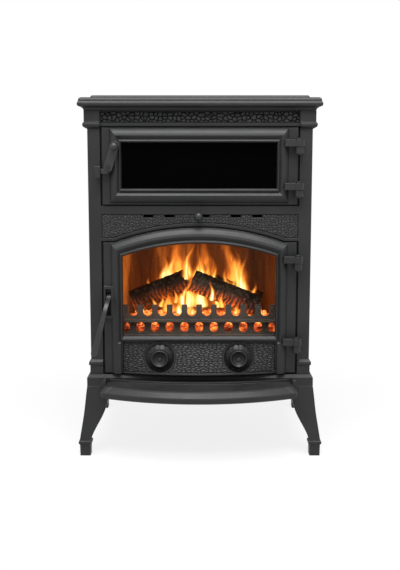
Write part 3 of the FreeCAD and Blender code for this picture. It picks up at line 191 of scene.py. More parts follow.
def reckon(tree, operation, a, b=0.0, clamp=False):
    """One Math node; gives its output."""
    return put(tree, "ShaderNodeMath", {0: a, 1: b}, operation=operation, use_clamp=clamp).outputs[0]


def times(tree, a, b):
    return reckon(tree, "MULTIPLY", a, b)


def plus(tree, a, b):
    return reckon(tree, "ADD", a, b)


def vector(tree, operation, a, b):
    """One Vector Math node; gives its output."""
    made = put(tree, "ShaderNodeVectorMath", {0: a, 1: b}, operation=operation)
    return made.outputs["Value" if operation == "DOT_PRODUCT" else "Vector"]


def scale_by(tree, a, factor):
    """A vector times a value."""
    return put(tree, "ShaderNodeVectorMath", {0: a, "Scale": factor}, operation="SCALE").outputs[0]


def magnitude(tree, a):
    """Length of a vector."""
    return put(tree, "ShaderNodeVectorMath", {0: a}, operation="LENGTH").outputs["Value"]


def spread(tree, value, low, high, to_low=0.0, to_high=1.0, smooth=True):
    """Map Range from low..high to to_low..to_high."""
    kind = "SMOOTHSTEP" if smooth else "LINEAR"
    links = {"Value": value, "From Min": low, "From Max": high, "To Min": to_low, "To Max": to_high}
    return put(tree, "ShaderNodeMapRange", links, interpolation_type=kind).outputs["Result"]


def blend(tree, factor, a, b):
    """Mix of two colours; gives its output."""
    made = put(tree, "ShaderNodeMix", data_type="RGBA", blend_type="MIX")
    wire(tree, made, {0: factor, 6: a, 7: b})
    return made.outputs[2]


def ramp(tree, factor, *stops):
    """Colour ramp through stops of (place, colour)."""
    made = put(tree, "ShaderNodeValToRGB", {"Fac": factor})
    elements = made.color_ramp.elements
    while len(elements) < len(stops):
        elements.new(0.5)
    for element, (place, value) in zip(elements, stops):
        element.position = place
        element.color = tuple(value) + (1.0,)
    return made.outputs["Color"]


def rgba(value, gain=1.0):
    return tuple(min(1.0, c * gain) for c in value) + (1.0,)


def here(tree):
    """Object coordinates."""
    return put(tree, "ShaderNodeTexCoord").outputs["Object"]


def axes(tree, place):
    """X, Y and Z of a vector."""
    return put(tree, "ShaderNodeSeparateXYZ", {0: place}).outputs


def noise(tree, place, scale, detail=2.0, rough=0.5, stir=0.0):
    """Noise value at a place."""
    links = {"Vector": place, "Scale": scale, "Detail": detail, "Roughness": rough, "Distortion": stir}
    return put(tree, "ShaderNodeTexNoise", links).outputs["Fac"]


def noted(tree, name):
    """Value that the mesh holds at each point."""
    return put(tree, "ShaderNodeAttribute", attribute_name=name).outputs["Fac"]


def bumped(tree, height, strength, distance, **more):
    """Normal bent by a height."""
    links = dict(more, Height=height, Strength=strength, Distance=distance)
    return put(tree, "ShaderNodeBump", links).outputs["Normal"]


def shader_group(name, inputs, outputs):
    """Empty shader node group with the given sockets, its input node and its output node."""
    group = bpy.data.node_groups.new(name, "ShaderNodeTree")
    for label, value in inputs:
        socket = group.interface.new_socket(label, in_out="INPUT", socket_type="NodeSocketFloat")
        socket.default_value = value
    for label, kind in outputs:
        group.interface.new_socket(label, in_out="OUTPUT", socket_type=kind)
    return group, group.nodes.new("NodeGroupInput"), group.nodes.new("NodeGroupOutput")


# Effects that several finishes share


def once(build):
    """Builds a node group when it is first asked for."""
    name = build.__name__
    return lambda: bpy.data.node_groups.get(name) or build(name)


@once
def casting_skin(name):
    """Sand-cast grain: a height for bump, a slow mottle, and pits."""
    outputs = [(label, "NodeSocketFloat") for label in ("Height", "Mottle", "Pits")]
    group, given, result = shader_group(name, [("Grain", 700.0), ("Ripple", 0.35)], outputs)
    place = here(group)
    grain = noise(group, place, given.outputs["Grain"], 3.0, 0.6)
    wave = noise(group, place, 60.0, 3.0)
    cloud = noise(group, place, 9.0, 4.0, 0.6)
    links = {"Vector": place, "Scale": 260.0, "Randomness": 1.0}
    pit = put(group, "ShaderNodeTexVoronoi", links).outputs["Distance"]
    pits = spread(group, pit, 0.12, 0.30, 1.0, 0.0)
    height = plus(group, grain, times(group, wave, given.outputs["Ripple"]))
    height = reckon(group, "SUBTRACT", height, times(group, pits, 0.35))
    wire(group, result, {"Height": height, "Mottle": spread(group, cloud, 0.3, 0.7), "Pits": pits})
    return group


@once
def rounded_edge(name):
    """Normal that rounds hard cast edges, and a mask of those edges."""
    outputs = [("Normal", "NodeSocketVector"), ("Mask", "NodeSocketFloat")]
    group, given, result = shader_group(name, [("Radius", 0.0015)], outputs)
    soft = put(group, "ShaderNodeBevel", {"Radius": given.outputs["Radius"]}, samples=4).outputs["Normal"]
    hard = put(group, "ShaderNodeNewGeometry").outputs["Normal"]
    turned = vector(group, "DOT_PRODUCT", soft, hard)
    wire(group, result, {"Normal": soft, "Mask": spread(group, turned, 0.98, 0.75)})
    return group


@once
def settled_dust(name):
    """Mask of dust and ash on faces that look up."""
    group, given, result = shader_group(name, [("Scale", 40.0)], [("Mask", "NodeSocketFloat")])
    up = axes(group, put(group, "ShaderNodeNewGeometry").outputs["Normal"])["Z"]
    patch = noise(group, here(group), given.outputs["Scale"], 5.0, 0.7)
    mask = times(group, spread(group, up, 0.2, 0.95), spread(group, patch, 0.35, 0.75))
    wire(group, result, {"Mask": mask})
    return group


def start(name):
    """New material: its tree and its Principled shader."""
    made = bpy.data.materials.new(name)
    made.use_nodes = True
    tree = made.node_tree
    skin = next(n for n in tree.nodes if n.type == "BSDF_PRINCIPLED")
    return made, tree, skin


def use(tree, group, **values):
    """Places a node group with its own values; gives its outputs."""
    return put(tree, "ShaderNodeGroup", values, node_tree=group).outputs


# Finishes


def blacked_iron(name, tint, rough, depth, dust, grain=650.0):
    """Satin stove black on sand-cast iron, polished on its edges, with a painted highlight along them that
    partly stands for wear.
    """
    made, tree, skin = start(name)
    cast = use(tree, casting_skin(), Grain=grain)
    ash = use(tree, settled_dust())
    edge = use(tree, rounded_edge(), Radius=sizes().edge_round)
    shade = blend(tree, cast["Mottle"], rgba(tint, 0.86), rgba(tint, 1.18))
    shade = blend(tree, times(tree, cast["Pits"], 0.35), shade, rgba(tint, 0.45))
    shade = blend(tree, times(tree, ash["Mask"], dust), shade, (0.16, 0.155, 0.15, 1.0))
    # Painted highlight: the edge mask lightens the black 3.6 times along cast edges, partly standing for
    # wear.
    shade = blend(tree, times(tree, edge["Mask"], 0.6), shade, rgba(tint, 3.6))
    roughness = spread(tree, cast["Mottle"], 0.0, 1.0, rough - 0.05, rough + 0.05, False)
    wire(tree, skin, {
        "Base Color": shade,
        "Roughness": reckon(tree, "SUBTRACT", roughness, times(tree, edge["Mask"], 0.16)),
        "Normal": bumped(tree, cast["Height"], 0.5, depth, Normal=edge["Normal"]),
        "Specular IOR Level": IRON_GLOSS,
    })
    return made


def crusted_iron(name, tint, rough, gloss=IRON_GLOSS):
    """Stove black on a relief casting, with painted light on the crowns of its cells and painted shade in
    their joints, partly soot.
    """
    made, tree, skin = start(name)
    cast = use(tree, casting_skin(), Grain=900.0)
    rise = noted(tree, "rise")
    # Painted light and shade: darker where a cell sinks to its joint, lighter where it rises to its crown.
    shade = blend(tree, spread(tree, rise, 0.10, 0.75), rgba(tint, 0.10), rgba(tint, 1.5))
    shade = blend(tree, spread(tree, rise, 0.75, 1.0, 0.0, 0.6), shade, rgba(tint, 2.4))
    shade = blend(tree, times(tree, cast["Pits"], 0.35), shade, rgba(tint, 0.45))
    wire(tree, skin, {
        "Base Color": shade,
        "Roughness": spread(tree, rise, 0.2, 0.9, rough + 0.35, rough),
        "Normal": bumped(tree, cast["Height"], 0.5, 0.0003),
        "Specular IOR Level": gloss,
    })
    return made


def fired_iron(name, tint, glow=0.0):
    """Bare iron browned by heat, with ash on its upper faces, and red hot in patches where it glows."""
    made, tree, skin = start(name)
    cast = use(tree, casting_skin(), Grain=420.0, Ripple=0.8)
    ash = use(tree, settled_dust(), Scale=70.0)
    shade = blend(tree, cast["Mottle"], rgba(tint, 0.7), (0.085, 0.062, 0.045, 1.0))
    shade = blend(tree, cast["Pits"], shade, rgba(tint, 0.4))
    shade = blend(tree, times(tree, ash["Mask"], 0.45), shade, (0.26, 0.24, 0.22, 1.0))
    wire(tree, skin, {
        "Base Color": shade,
        "Roughness": spread(tree, cast["Mottle"], 0.0, 1.0, 0.62, 0.8, False),
        "Normal": bumped(tree, cast["Height"], 0.7, 0.0006),
    })
    if glow:
        hot = ramp(
            tree, noise(tree, here(tree), 42.0, 5.0, 0.7),
            (0.36, (0.02, 0.002, 0.0)),
            (0.47, (0.34, 0.03, 0.006)),
            (0.56, (0.90, 0.13, 0.02)),
            (0.66, (1.0, 0.48, 0.08)),
        )
        wire(tree, skin, {"Emission Color": hot, "Emission Strength": glow})
    return made


def dark_steel(name, tint, rough, metal):
    """Oiled steel with fine drawn scratches."""
    made, tree, skin = start(name)
    stretched = vector(tree, "MULTIPLY", here(tree), (90.0, 90.0, 1400.0))
    scratch = noise(tree, stretched, 1.0, 4.0)
    cast = use(tree, casting_skin(), Grain=900.0)
    shade = blend(tree, scratch, rgba(tint, 0.7), rgba(tint, 1.25))
    wire(tree, skin, {
        "Base Color": blend(tree, times(tree, cast["Mottle"], 0.4), shade, rgba(tint, 0.5)),
        "Roughness": spread(tree, scratch, 0.2, 0.8, rough - 0.08, rough + 0.1),
        "Normal": bumped(tree, scratch, 0.25, 0.0003),
        "Metallic": metal,
    })
    return made


def sooted_steel(name):
    """Sheet steel behind the air slots, matt and nearly black: painted shade inside the slots, partly soot.
    """
    made, tree, skin = start(name)
    cast = use(tree, casting_skin(), Grain=500.0)
    # Near-black colour: painted shade inside the air slots, partly soot.
    shade = blend(tree, cast["Mottle"], (0.0010, 0.0010, 0.0010, 1.0), (0.0045, 0.0040, 0.0036, 1.0))
    wire(tree, skin, {
        "Base Color": shade,
        "Roughness": spread(tree, cast["Mottle"], 0.0, 1.0, 0.88, 1.0),
        "Normal": bumped(tree, cast["Height"], 0.6, 0.0004),
        "Specular IOR Level": 0.05,
    })
    return made


def oven_pane():
    """Glass over the unlit oven, nearly opaque black as painted shade of the dark oven behind it, with a
    faint film.
    """
    made, tree, skin = start("oven_pane")
    film = noise(tree, here(tree), 14.0, 5.0)
    # Painted shade: near-black colour and alpha of 0.95 to 0.98 stand for the dark oven seen through the
    # glass.
    wire(tree, skin, {
        "Base Color": blend(tree, film, (0.0003, 0.0003, 0.0003, 1.0), (0.0008, 0.0008, 0.0009, 1.0)),
        "Roughness": spread(tree, film, 0.2, 0.8, 0.05, 0.12),
        "Alpha": spread(tree, film, 0.2, 0.8, 0.95, 0.98),
        "Specular IOR Level": 0.01,
    })
    return made


def fire_pane():
    """Clear glass with a thin smoked film."""
    made, tree, skin = start("fire_pane")
    film = noise(tree, here(tree), 11.0, 6.0)
    wire(tree, skin, {
        "Base Color": blend(tree, film, (0.02, 0.012, 0.006, 1.0), (0.10, 0.06, 0.035, 1.0)),
        "Alpha": spread(tree, film, 0.25, 0.8, 0.02, 0.09),
        "Roughness": spread(tree, film, 0.2, 0.8, 0.06, 0.16),
        "Specular IOR Level": 0.10,
    })
    return made


def woven_rope(tint):
    """Plaited glass rope: two crossing rows of strands."""
    made, tree, skin = start("woven_rope")
    place = here(tree)
    strands = []
    for slant in (420.0, -420.0):
        leaning = vector(tree, "DOT_PRODUCT", place, (420.0, slant, slant))
        strands.append(reckon(tree, "ABSOLUTE", reckon(tree, "SINE", leaning)))
    plait = reckon(tree, "MAXIMUM", *strands)
    fuzz = noise(tree, place, 1500.0, 2.0)
    wire(tree, skin, {
        "Base Color": blend(tree, plait, rgba(tint, 0.45), rgba(tint, 1.6)),
        "Normal": bumped(tree, plus(tree, plait, times(tree, fuzz, 0.4)), 0.8, 0.0012),
        "Roughness": spread(tree, fuzz, 0.2, 0.8, 0.85, 1.0),
    })
    return made


def brick_with_painted_firelight(tint):
    """Fireclay liners, smoked in streaks, with the fire's light painted on as emission: less of it to the
    front, higher up and on soot, and painted shade in a band towards each side.
    """
    made, tree, skin = start("brick_with_painted_firelight")
    place = here(tree)
    x, y, z = axes(tree, place)
    streaked = vector(tree, "ADD", vector(tree, "MULTIPLY", place, (30.0, 11.0, 4.0)), (0.0, 3.3, 0.0))
    smoke = noise(tree, streaked, 1.0, 5.0, 0.6)
    grit = noise(tree, place, 260.0, 4.0)
    aside = reckon(tree, "ABSOLUTE", x)
    sooted = spread(tree, smoke, 0.35, 0.68)
    shade = blend(tree, sooted, rgba(tint, 0.18), rgba(tint, 0.65))
    # Painted shade: a band towards each side where the fire's light is painted weaker.
    flank_shade = times(tree, spread(tree, aside, 0.105, 0.140), spread(tree, aside, 0.190, 0.165))
    # heat here is the strength of the painted firelight, not a glow of the brick's own.
    heat = reckon(tree, "SUBTRACT", 1.0, times(tree, flank_shade, 0.93))
    heat = times(tree, heat, spread(tree, y, -0.13, 0.11, 0.22, 1.0))
    heat = times(tree, heat, spread(tree, z, 0.62, 0.34, 0.35, 1.0))
    heat = times(tree, heat, spread(tree, sooted, 0.0, 1.0, 0.30, 1.0))
    # Painted firelight: emission colour that stands for the fire's light falling on the brick.
    warm = ramp(
        tree, heat,
        (0.0, (0.010, 0.002, 0.0005)),
        (0.4, (0.15, 0.028, 0.004)),
        (1.0, (0.58, 0.135, 0.016)),
    )
    wire(tree, skin, {
        "Base Color": blend(tree, times(tree, grit, 0.3), shade, rgba(tint, 0.4)),
        "Emission Color": warm,
        "Emission Strength": 0.8,
        "Normal": bumped(tree, grit, 0.6, 0.0015),
        "Roughness": spread(tree, grit, 0.2, 0.8, 0.85, 0.97),
    })
    return made


def charred_bark(tint):
    """Bark, brown where the fire has spared it, black in its furrows, with cracks that glow below."""
    made, tree, skin = start("charred_bark")
    place = here(tree)
    flake = noise(tree, place, 120.0, 6.0)
    patch = noise(tree, place, 17.0, 3.0)
    shade = blend(tree, spread(tree, patch, 0.38, 0.66), rgba(tint, 0.35), (0.13, 0.086, 0.054, 1.0))
    shade = blend(tree, noted(tree, "furrow"), shade, rgba(tint, 0.25))
    wander = times(tree, noise(tree, place, 48.0, 4.0, 0.6), 15.0)
    checked = plus(tree, times(tree, noted(tree, "reach"), 2 * math.pi / CHECK_PITCH), wander)
    crack = spread(tree, reckon(tree, "SINE", checked), -0.1, 0.9)
    ember = times(tree, noted(tree, "glow"), plus(tree, times(tree, crack, 0.95), 0.08))
    ember = times(tree, ember, spread(tree, patch, 0.36, 0.58, 0.15, 1.0))
    lit = ramp(
        tree, ember,
        (0.0, (0.0, 0.0, 0.0)),
        (0.3, (0.24, 0.03, 0.004)),
        (0.7, (0.9, 0.17, 0.02)),
        (1.0, (1.0, 0.5, 0.1)),
    )
    wire(tree, skin, {
        # Light flecks where the flake noise is high: painted highlight on the bark, partly lighter flakes
        # of bark.
        "Base Color": blend(tree, spread(tree, flake, 0.50, 0.72), shade, (0.20, 0.145, 0.096, 1.0)),
        "Emission Color": lit,
        "Emission Strength": 2.4,
        "Normal": bumped(tree, flake, 0.8, 0.002),
        "Roughness": spread(tree, flake, 0.2, 0.8, 0.8, 0.95),
    })
    return made


def live_charcoal(tint):
    """Charcoal with a grey ash skin, glowing in its hollows."""
    made, tree, skin = start("live_charcoal")
    place = here(tree)
    links = {"Vector": place, "Scale": 62.0}
    cell = put(tree, "ShaderNodeTexVoronoi", links, feature="DISTANCE_TO_EDGE").outputs["Distance"]
    patch = noise(tree, place, 30.0, 4.0, 0.6)
    ash = use(tree, settled_dust(), Scale=120.0)
    fine = noise(tree, place, 240.0, 3.0)
    heat = times(tree, spread(tree, patch, 0.30, 0.55), spread(tree, cell, 0.30, 0.02, 0.45, 1.0))
    heat = times(tree, heat, spread(tree, fine, 0.25, 0.6, 0.5, 1.0))
    lit = ramp(
        tree, heat,
        (0.0, (0.01, 0.001, 0.0)),
        (0.2, (0.30, 0.035, 0.008)),
        (0.55, (0.9, 0.13, 0.02)),
        (1.0, (1.0, 0.55, 0.12)),
    )
    shade = blend(tree, ash["Mask"], (0.015, 0.012, 0.010, 1.0), (0.22, 0.19, 0.17, 1.0))
    wire(tree, skin, {
        "Base Color": blend(tree, heat, shade, rgba(tint, 0.5)),
        "Emission Color": lit,
        "Emission Strength": 1.6,
        "Normal": bumped(tree, fine, 0.8, 0.002),
        "Roughness": spread(tree, fine, 0.2, 0.8, 0.85, 1.0),
    })
    return made


def flame_sheet(body, heart):
    """Flames: bright at the root, thinning to the tip and to both sides."""
    made, tree, skin = start("flame_sheet")
    across, up, _ = axes(tree, put(tree, "ShaderNodeUVMap", uv_map="tongue").outputs["UV"])
    drawn = vector(tree, "MULTIPLY", here(tree), (75.0, 30.0, 15.0))
    lick = noise(tree, drawn, 1.0, 3.0, stir=0.6)
    aside = reckon(tree, "ABSOLUTE", reckon(tree, "SUBTRACT", times(tree, across, 2.0), 1.0))
    fade = times(tree, spread(tree, aside, 1.0, 0.0), spread(tree, up, 1.0, 0.10))
    lively = times(tree, fade, spread(tree, lick, 0.28, 0.62, 0.35, 1.2))
    burning = ramp(
        tree, times(tree, lively, noted(tree, "warmth")),
        (0.0, (0.60, 0.10, 0.010)),
        (0.25, body),
        (0.50, (1.0, 0.48, 0.08)),
        (0.75, heart),
        (1.0, (1.0, 0.92, 0.62)),
    )
    rooted = times(tree, lively, spread(tree, up, 0.0, 0.08))
    wire(tree, skin, {
        "Emission Color": burning,
        "Emission Strength": 1.8,
        "Alpha": reckon(tree, "MULTIPLY", rooted, 1.25, True),
        "Base Color": (0.0, 0.0, 0.0, 1.0),
        "Roughness": 1.0,
        "Specular IOR Level": 0.0,
    })
    return made


def finish(names, material):
    """Gives CAD nodes their finish."""
    for name in names:
        held = NODES[name].data.materials
        held.clear()
        held.append(material)


# Meshes


def stand(name, data):
    """New object in the scene."""
    made = bpy.data.objects.new(name, data)
    bpy.context.scene.collection.objects.link(made)
    return made


def note(made, label, values):
    """Keeps a value at each point of a mesh."""
    made.data.attributes.new(label, "FLOAT", "POINT").data.foreach_set("value", values)


def grid_faces(columns, rows):
    """Corners of the faces of a grid whose points are listed column by column."""
    for i in range(columns - 1):
        for j in range(rows - 1):
            a = i * rows + j
            yield a, a + rows, a + rows + 1, a + 1


def piece(name, verts, faces, material):
    """Smooth mesh object."""
    mesh = bpy.data.meshes.new(name)
    mesh.from_pydata([tuple(v) for v in verts], [], [tuple(f) for f in faces])
    mesh.materials.append(material)
    mesh.polygons.foreach_set("use_smooth", [True] * len(mesh.polygons))
    mesh.update()
    return stand(name, mesh)


def settle(made, body, node=None):
    """Lets a finished piece ride on its body, for the node it stands for."""
    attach(made, body)
    if node:
        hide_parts(node)


def apply_tree(made, tree, values):
    """Runs a geometry tree on an object and keeps the result as a plain mesh."""
    modifier = made.modifiers.new("pattern", "NODES")
    modifier.node_group = tree
    for item in tree.interface.items_tree:
        if item.in_out == "INPUT" and item.name in values:
            modifier[item.identifier] = values[item.name]
    made.update_tag()
    bpy.context.view_layer.update()
    graph = bpy.context.evaluated_depsgraph_get()
    mesh = bpy.data.meshes.new_from_object(made.evaluated_get(graph))
    old = made.data
    made.modifiers.remove(modifier)
    made.data = mesh
    mesh.name = made.name
    bpy.data.meshes.remove(old)
    return made


def geometry_tree(name, inputs):
    """Empty geometry tree with named inputs."""
    tree = bpy.data.node_groups.new(name, "GeometryNodeTree")
    tree.interface.new_socket("Geometry", in_out="INPUT", socket_type="NodeSocketGeometry")
    for label, kind, value in inputs:
        socket = tree.interface.new_socket(label, in_out="INPUT", socket_type=kind)
        if value is not None:
            socket.default_value = value
    tree.interface.new_socket("Geometry", in_out="OUTPUT", socket_type="NodeSocketGeometry")
    return tree, tree.nodes.new("NodeGroupInput"), tree.nodes.new("NodeGroupOutput")


def end_tree(tree, shape, material, result):
    """Ends a geometry tree: real geometry in its finish."""
    real = put(tree, "GeometryNodeRealizeInstances", {"Geometry": shape}).outputs[0]
    coated = put(tree, "GeometryNodeSetMaterial", {"Geometry": real, "Material": material}).outputs[0]
    tree.links.new(coated, result.inputs[0])
    return tree


@once
def relief_cells(name):
    """Raises irregular cells on a panel, each domed and parted by a joint."""
    inputs = [
        ("Cell", "NodeSocketFloat", 0.008),
        ("Stretch", "NodeSocketVector", (1.0, 1.0, 1.0)),
        ("Rise", "NodeSocketFloat", 0.002),
        ("Joint", "NodeSocketFloat", 0.12),
        ("Wander", "NodeSocketFloat", 0.3),
        ("Randomness", "NodeSocketFloat", 0.9),
        ("Finish", "NodeSocketMaterial", None),
    ]
    tree, given, result = geometry_tree(name, inputs)
    given = given.outputs
    place = put(tree, "GeometryNodeInputPosition").outputs["Position"]
    sized = vector(tree, "MULTIPLY", place, given["Stretch"])
    chart = scale_by(tree, sized, reckon(tree, "DIVIDE", 1.0, given["Cell"]))
    stray = put(tree, "ShaderNodeTexNoise", {"Vector": chart, "Scale": 0.35, "Detail": 2.0})
    stray = vector(tree, "SUBTRACT", stray.outputs["Color"], (0.5, 0.5, 0.5))
    bent = scale_by(tree, stray, given["Wander"])
    x, _, z = axes(tree, vector(tree, "ADD", chart, bent))
    flat = put(tree, "ShaderNodeCombineXYZ", {"X": x, "Y": z}).outputs[0]
    links = {"Vector": flat, "Scale": 1.0, "Randomness": given["Randomness"]}
    edge = put(tree, "ShaderNodeTexVoronoi", feature="DISTANCE_TO_EDGE", voronoi_dimensions="2D")
    core = put(tree, "ShaderNodeTexVoronoi", feature="F1", voronoi_dimensions="2D")
    for node in (edge, core):
        wire(tree, node, links)
    wall = spread(tree, edge.outputs["Distance"], 0.0, given["Joint"])
    dome = spread(tree, core.outputs["Distance"], 0.0, 0.75, 1.0, 0.62)
    tilt = axes(tree, core.outputs["Color"])["X"]
    uneven = plus(tree, times(tree, tilt, 0.3), 0.7)
    height = times(tree, times(tree, wall, dome), uneven)
    height = plus(tree, height, times(tree, noise(tree, chart, 3.0, 2.0), 0.16))
    inside = put(tree, "GeometryNodeInputNamedAttribute", {"Name": "field"}, data_type="FLOAT")
    inside = inside.outputs["Attribute"]
    height = times(tree, times(tree, height, given["Rise"]), inside)
    offset = put(tree, "ShaderNodeCombineXYZ", {"Y": times(tree, height, -1.0)}).outputs[0]
    links = {"Geometry": given["Geometry"], "Offset": offset}
    shape = put(tree, "GeometryNodeSetPosition", links).outputs[0]
    # Crown height, kept as the rise attribute; crusted_iron paints light on the crowns and shade in the
    # joints from it.
    crown = times(tree, times(tree, wall, plus(tree, tilt, 3.0)), 0.25)
    links = {"Geometry": shape, "Name": "rise", "Value": times(tree, crown, inside)}
    shape = put(tree, "GeometryNodeStoreNamedAttribute", links, data_type="FLOAT", domain="POINT")
    shape = put(tree, "GeometryNodeSetShadeSmooth", {"Geometry": shape.outputs[0]}).outputs[0]
    return end_tree(tree, shape, given["Finish"], result)


def panel_sheet(xs, low, high, rows, depth, bare):
    """Fine sheet over a panel field: columns at xs from low(x) to high(x), at Y depth(x, z).

    Its rim, and its edge around each bare place, dips into the casting.
    """
    verts = []
    fields = []
    rims = []
    for x in xs:
        z0 = low(x)
        z1 = high(x)
        for j in range(rows + 1):
            z = z0 + (z1 - z0) * j / rows
            rim = min([x - xs[0], xs[-1] - x, z - z0, z1 - z] + [clear(x, z) for clear in bare])
            inside = min(1.0, max(0.0, rim / RIM))
            verts.append((x, depth(x, z) + SINK * (1.0 - 2.0 * inside), z))
            fields.append(inside)
            rims.append(rim)
    grid = grid_faces(len(xs), rows + 1)
    faces = [corners for corners in grid if max(rims[c] for c in corners) >= 0.0]
    return verts, faces, fields


def clear_of_disc(x, z, radius):
    return lambda px, pz: math.hypot(px - x, pz - z) - radius


def clear_of_slot(x0, x1, z0, z1):
    return lambda px, pz: max(x0 - px, px - x1, z0 - pz, pz - z1)


def steps(low, high, pitch):
    count = max(2, int(round((high - low) / pitch)))
    return [low + (high - low) * i / count for i in range(count + 1)]


def relief_panel(name, xs, low, high, rows, depth, bare, material, **values):
    """One relief casting laid on its panel field."""
    verts, faces, fields = panel_sheet(xs, low, high, rows, depth, bare)
    made = piece(name, verts, faces, material)
    note(made, "field", fields)
    work = bmesh.new()
    work.from_mesh(made.data)
    bmesh.ops.delete(work, geom=[v for v in work.verts if not v.link_faces], context="VERTS")
    work.to_mesh(made.data)
    work.free()
    return apply_tree(made, relief_cells(), dict(values, Finish=material))


def rim_arc(x, radius):
    """Z of an arch of the fire door at x."""
    return ARCH_Z + math.sqrt(radius * radius - (x - DOOR_X) ** 2)


def rough_wave(rng, count, top):
    """Mean of random waves over (turn, length), for bark."""
    waves = []
    for _ in range(count):
        turns = rng.randint(3, top)
        waves.append((turns, rng.uniform(2.0, 26.0), rng.uniform(0, 6.3), rng.uniform(0.4, 1.0)))

    def at(turn, along):
        return sum(w * math.sin(k * turn + f * along + p) for k, f, p, w in waves) / count

    return at


def split_log(name, node, foot, heading, length, radius, material, glow, seed):
    """Bark-covered log from its foot along its heading, a little smaller than its CAD solid."""
    rng = random.Random(seed)
    wave = rough_wave(rng, 10, 13)
    lumps = rough_wave(rng, 5, 4)
    axis = Vector(heading).normalized()
    side = axis.cross(Vector((0, 1, 0))).normalized()
    other = axis.cross(side).normalized()
    around = BARK_AROUND
    rows = int(length / BARK_PITCH)
    deep = sizes().bark_depth
    verts = []
    furrows = []
    glows = []
    reaches = []

    def add(p, furrow):
        verts.append(p)
        furrows.append(furrow)
        glows.append(glow(p))
        reaches.append((p - Vector(foot)).dot(axis))

    for i in range(rows + 1):
        along = i / rows
        for j in range(around):
            turn = 2 * math.pi * j / around
            ridge = abs(wave(turn, along * 6.0)) * 2.6
            furrow = max(0.0, 1.0 - ridge * 2.2)
            r = radius - deep * (0.10 + 0.80 * furrow) - 0.0012 * (1 + lumps(turn, along * 0.8))
            r -= 0.0006 * (1 + math.sin(turn * 23 + along * 90 + 3 * wave(turn, along)))
            out = side * math.cos(turn) + other * math.sin(turn)
            add(Vector(foot) + axis * (length * along) + out * r, furrow)
    faces = []
    for i in range(rows):
        for j in range(around):
            a = i * around + j
            b = i * around + (j + 1) % around
            faces.append((a, b, b + around, a + around))
    for end in (0, rows):
        centre = Vector(foot) + axis * (length * end / rows)
        inward = axis * (-END_DISH if end else END_DISH)
        ring = [end * around + j for j in range(around)]
        for k in range(1, END_RINGS):
            shrink = 1.0 - k / END_RINGS
            fresh = []
            for j in range(around):
                p = verts[end * around + j]
                q = centre + (p - centre) * shrink + inward * (1 + math.sin(k * 2.4 + seed))
                fresh.append(len(verts))
                add(q, 0.65 if k % 2 else 0.2)
            for j in range(around):
                n = (j + 1) % around
                quad = (ring[j], fresh[j], fresh[n], ring[n])
                faces.append(quad if end == 0 else quad[::-1])
            ring = fresh
        add(centre + inward, 0.5)
        for j in range(around):
            n = (j + 1) % around
            tri = (ring[j], len(verts) - 1, ring[n])
            faces.append(tri if end == 0 else tri[::-1])
    made = piece(name, verts, faces, material)
    for label, values in (("furrow", furrows), ("glow", glows), ("reach", reaches)):
        note(made, label, values)
    tidy_normals(made)
    settle(made, "stove", node)


def tidy_normals(made):
    """Turns every face of a closed mesh outwards."""
    work = bmesh.new()
    work.from_mesh(made.data)
    bmesh.ops.recalc_face_normals(work, faces=work.faces)
    work.to_mesh(made.data)
    work.free()


def ember_tree():
    """Scatters chipped charcoal lumps over a bed."""
    inputs = [
        ("Spacing", "NodeSocketFloat", 0.010),
        ("Lump", "NodeSocketFloat", 0.017),
        ("Seed", "NodeSocketInt", 7),
        ("Finish", "NodeSocketMaterial", None),
    ]
    tree, given, result = geometry_tree("ember_lumps", inputs)
    given = given.outputs
    bed = given["Geometry"]
    links = {"Mesh": bed, "Distance Min": given["Spacing"], "Density Max": 14000.0, "Seed": given["Seed"]}
    spots = put(tree, "GeometryNodeDistributePointsOnFaces", links, distribute_method="POISSON")
    links = {"Size": (0.86, 0.86, 0.86), "Vertices X": 3, "Vertices Y": 3, "Vertices Z": 3}
    block = put(tree, "GeometryNodeMeshCube", links).outputs["Mesh"]
    place = put(tree, "GeometryNodeInputPosition").outputs["Position"]
    corner = spread(tree, magnitude(tree, place), 0.43, 0.75, 0.0, -0.28)
    chip = spread(tree, noise(tree, place, 2.3, 1.0), 0.2, 0.8, -0.22, 0.16)
    push = scale_by(tree, place, plus(tree, corner, chip))
    lump = put(tree, "GeometryNodeSetPosition", {"Geometry": block, "Offset": push}).outputs[0]
    turn = put(tree, "FunctionNodeRandomValue", {"Seed": given["Seed"]}, data_type="FLOAT_VECTOR")
    wire(tree, turn, {1: (6.28, 6.28, 6.28)})
    links = {"Seed": plus(tree, given["Seed"], 3.0)}
    big = put(tree, "FunctionNodeRandomValue", links, data_type="FLOAT_VECTOR")
    wire(tree, big, {0: (0.55, 0.5, 0.4), 1: (1.25, 1.0, 0.85)})
    links = {"Points": spots.outputs["Points"], "Instance": lump, "Rotation": turn.outputs[0]}
    links["Scale"] = scale_by(tree, big.outputs[0], given["Lump"])
    laid = put(tree, "GeometryNodeInstanceOnPoints", links).outputs[0]
    both = put(tree, "GeometryNodeJoinGeometry")
    for part in (bed, laid):
        tree.links.new(part, both.inputs[0])
    return end_tree(tree, both.outputs[0], given["Finish"], result)


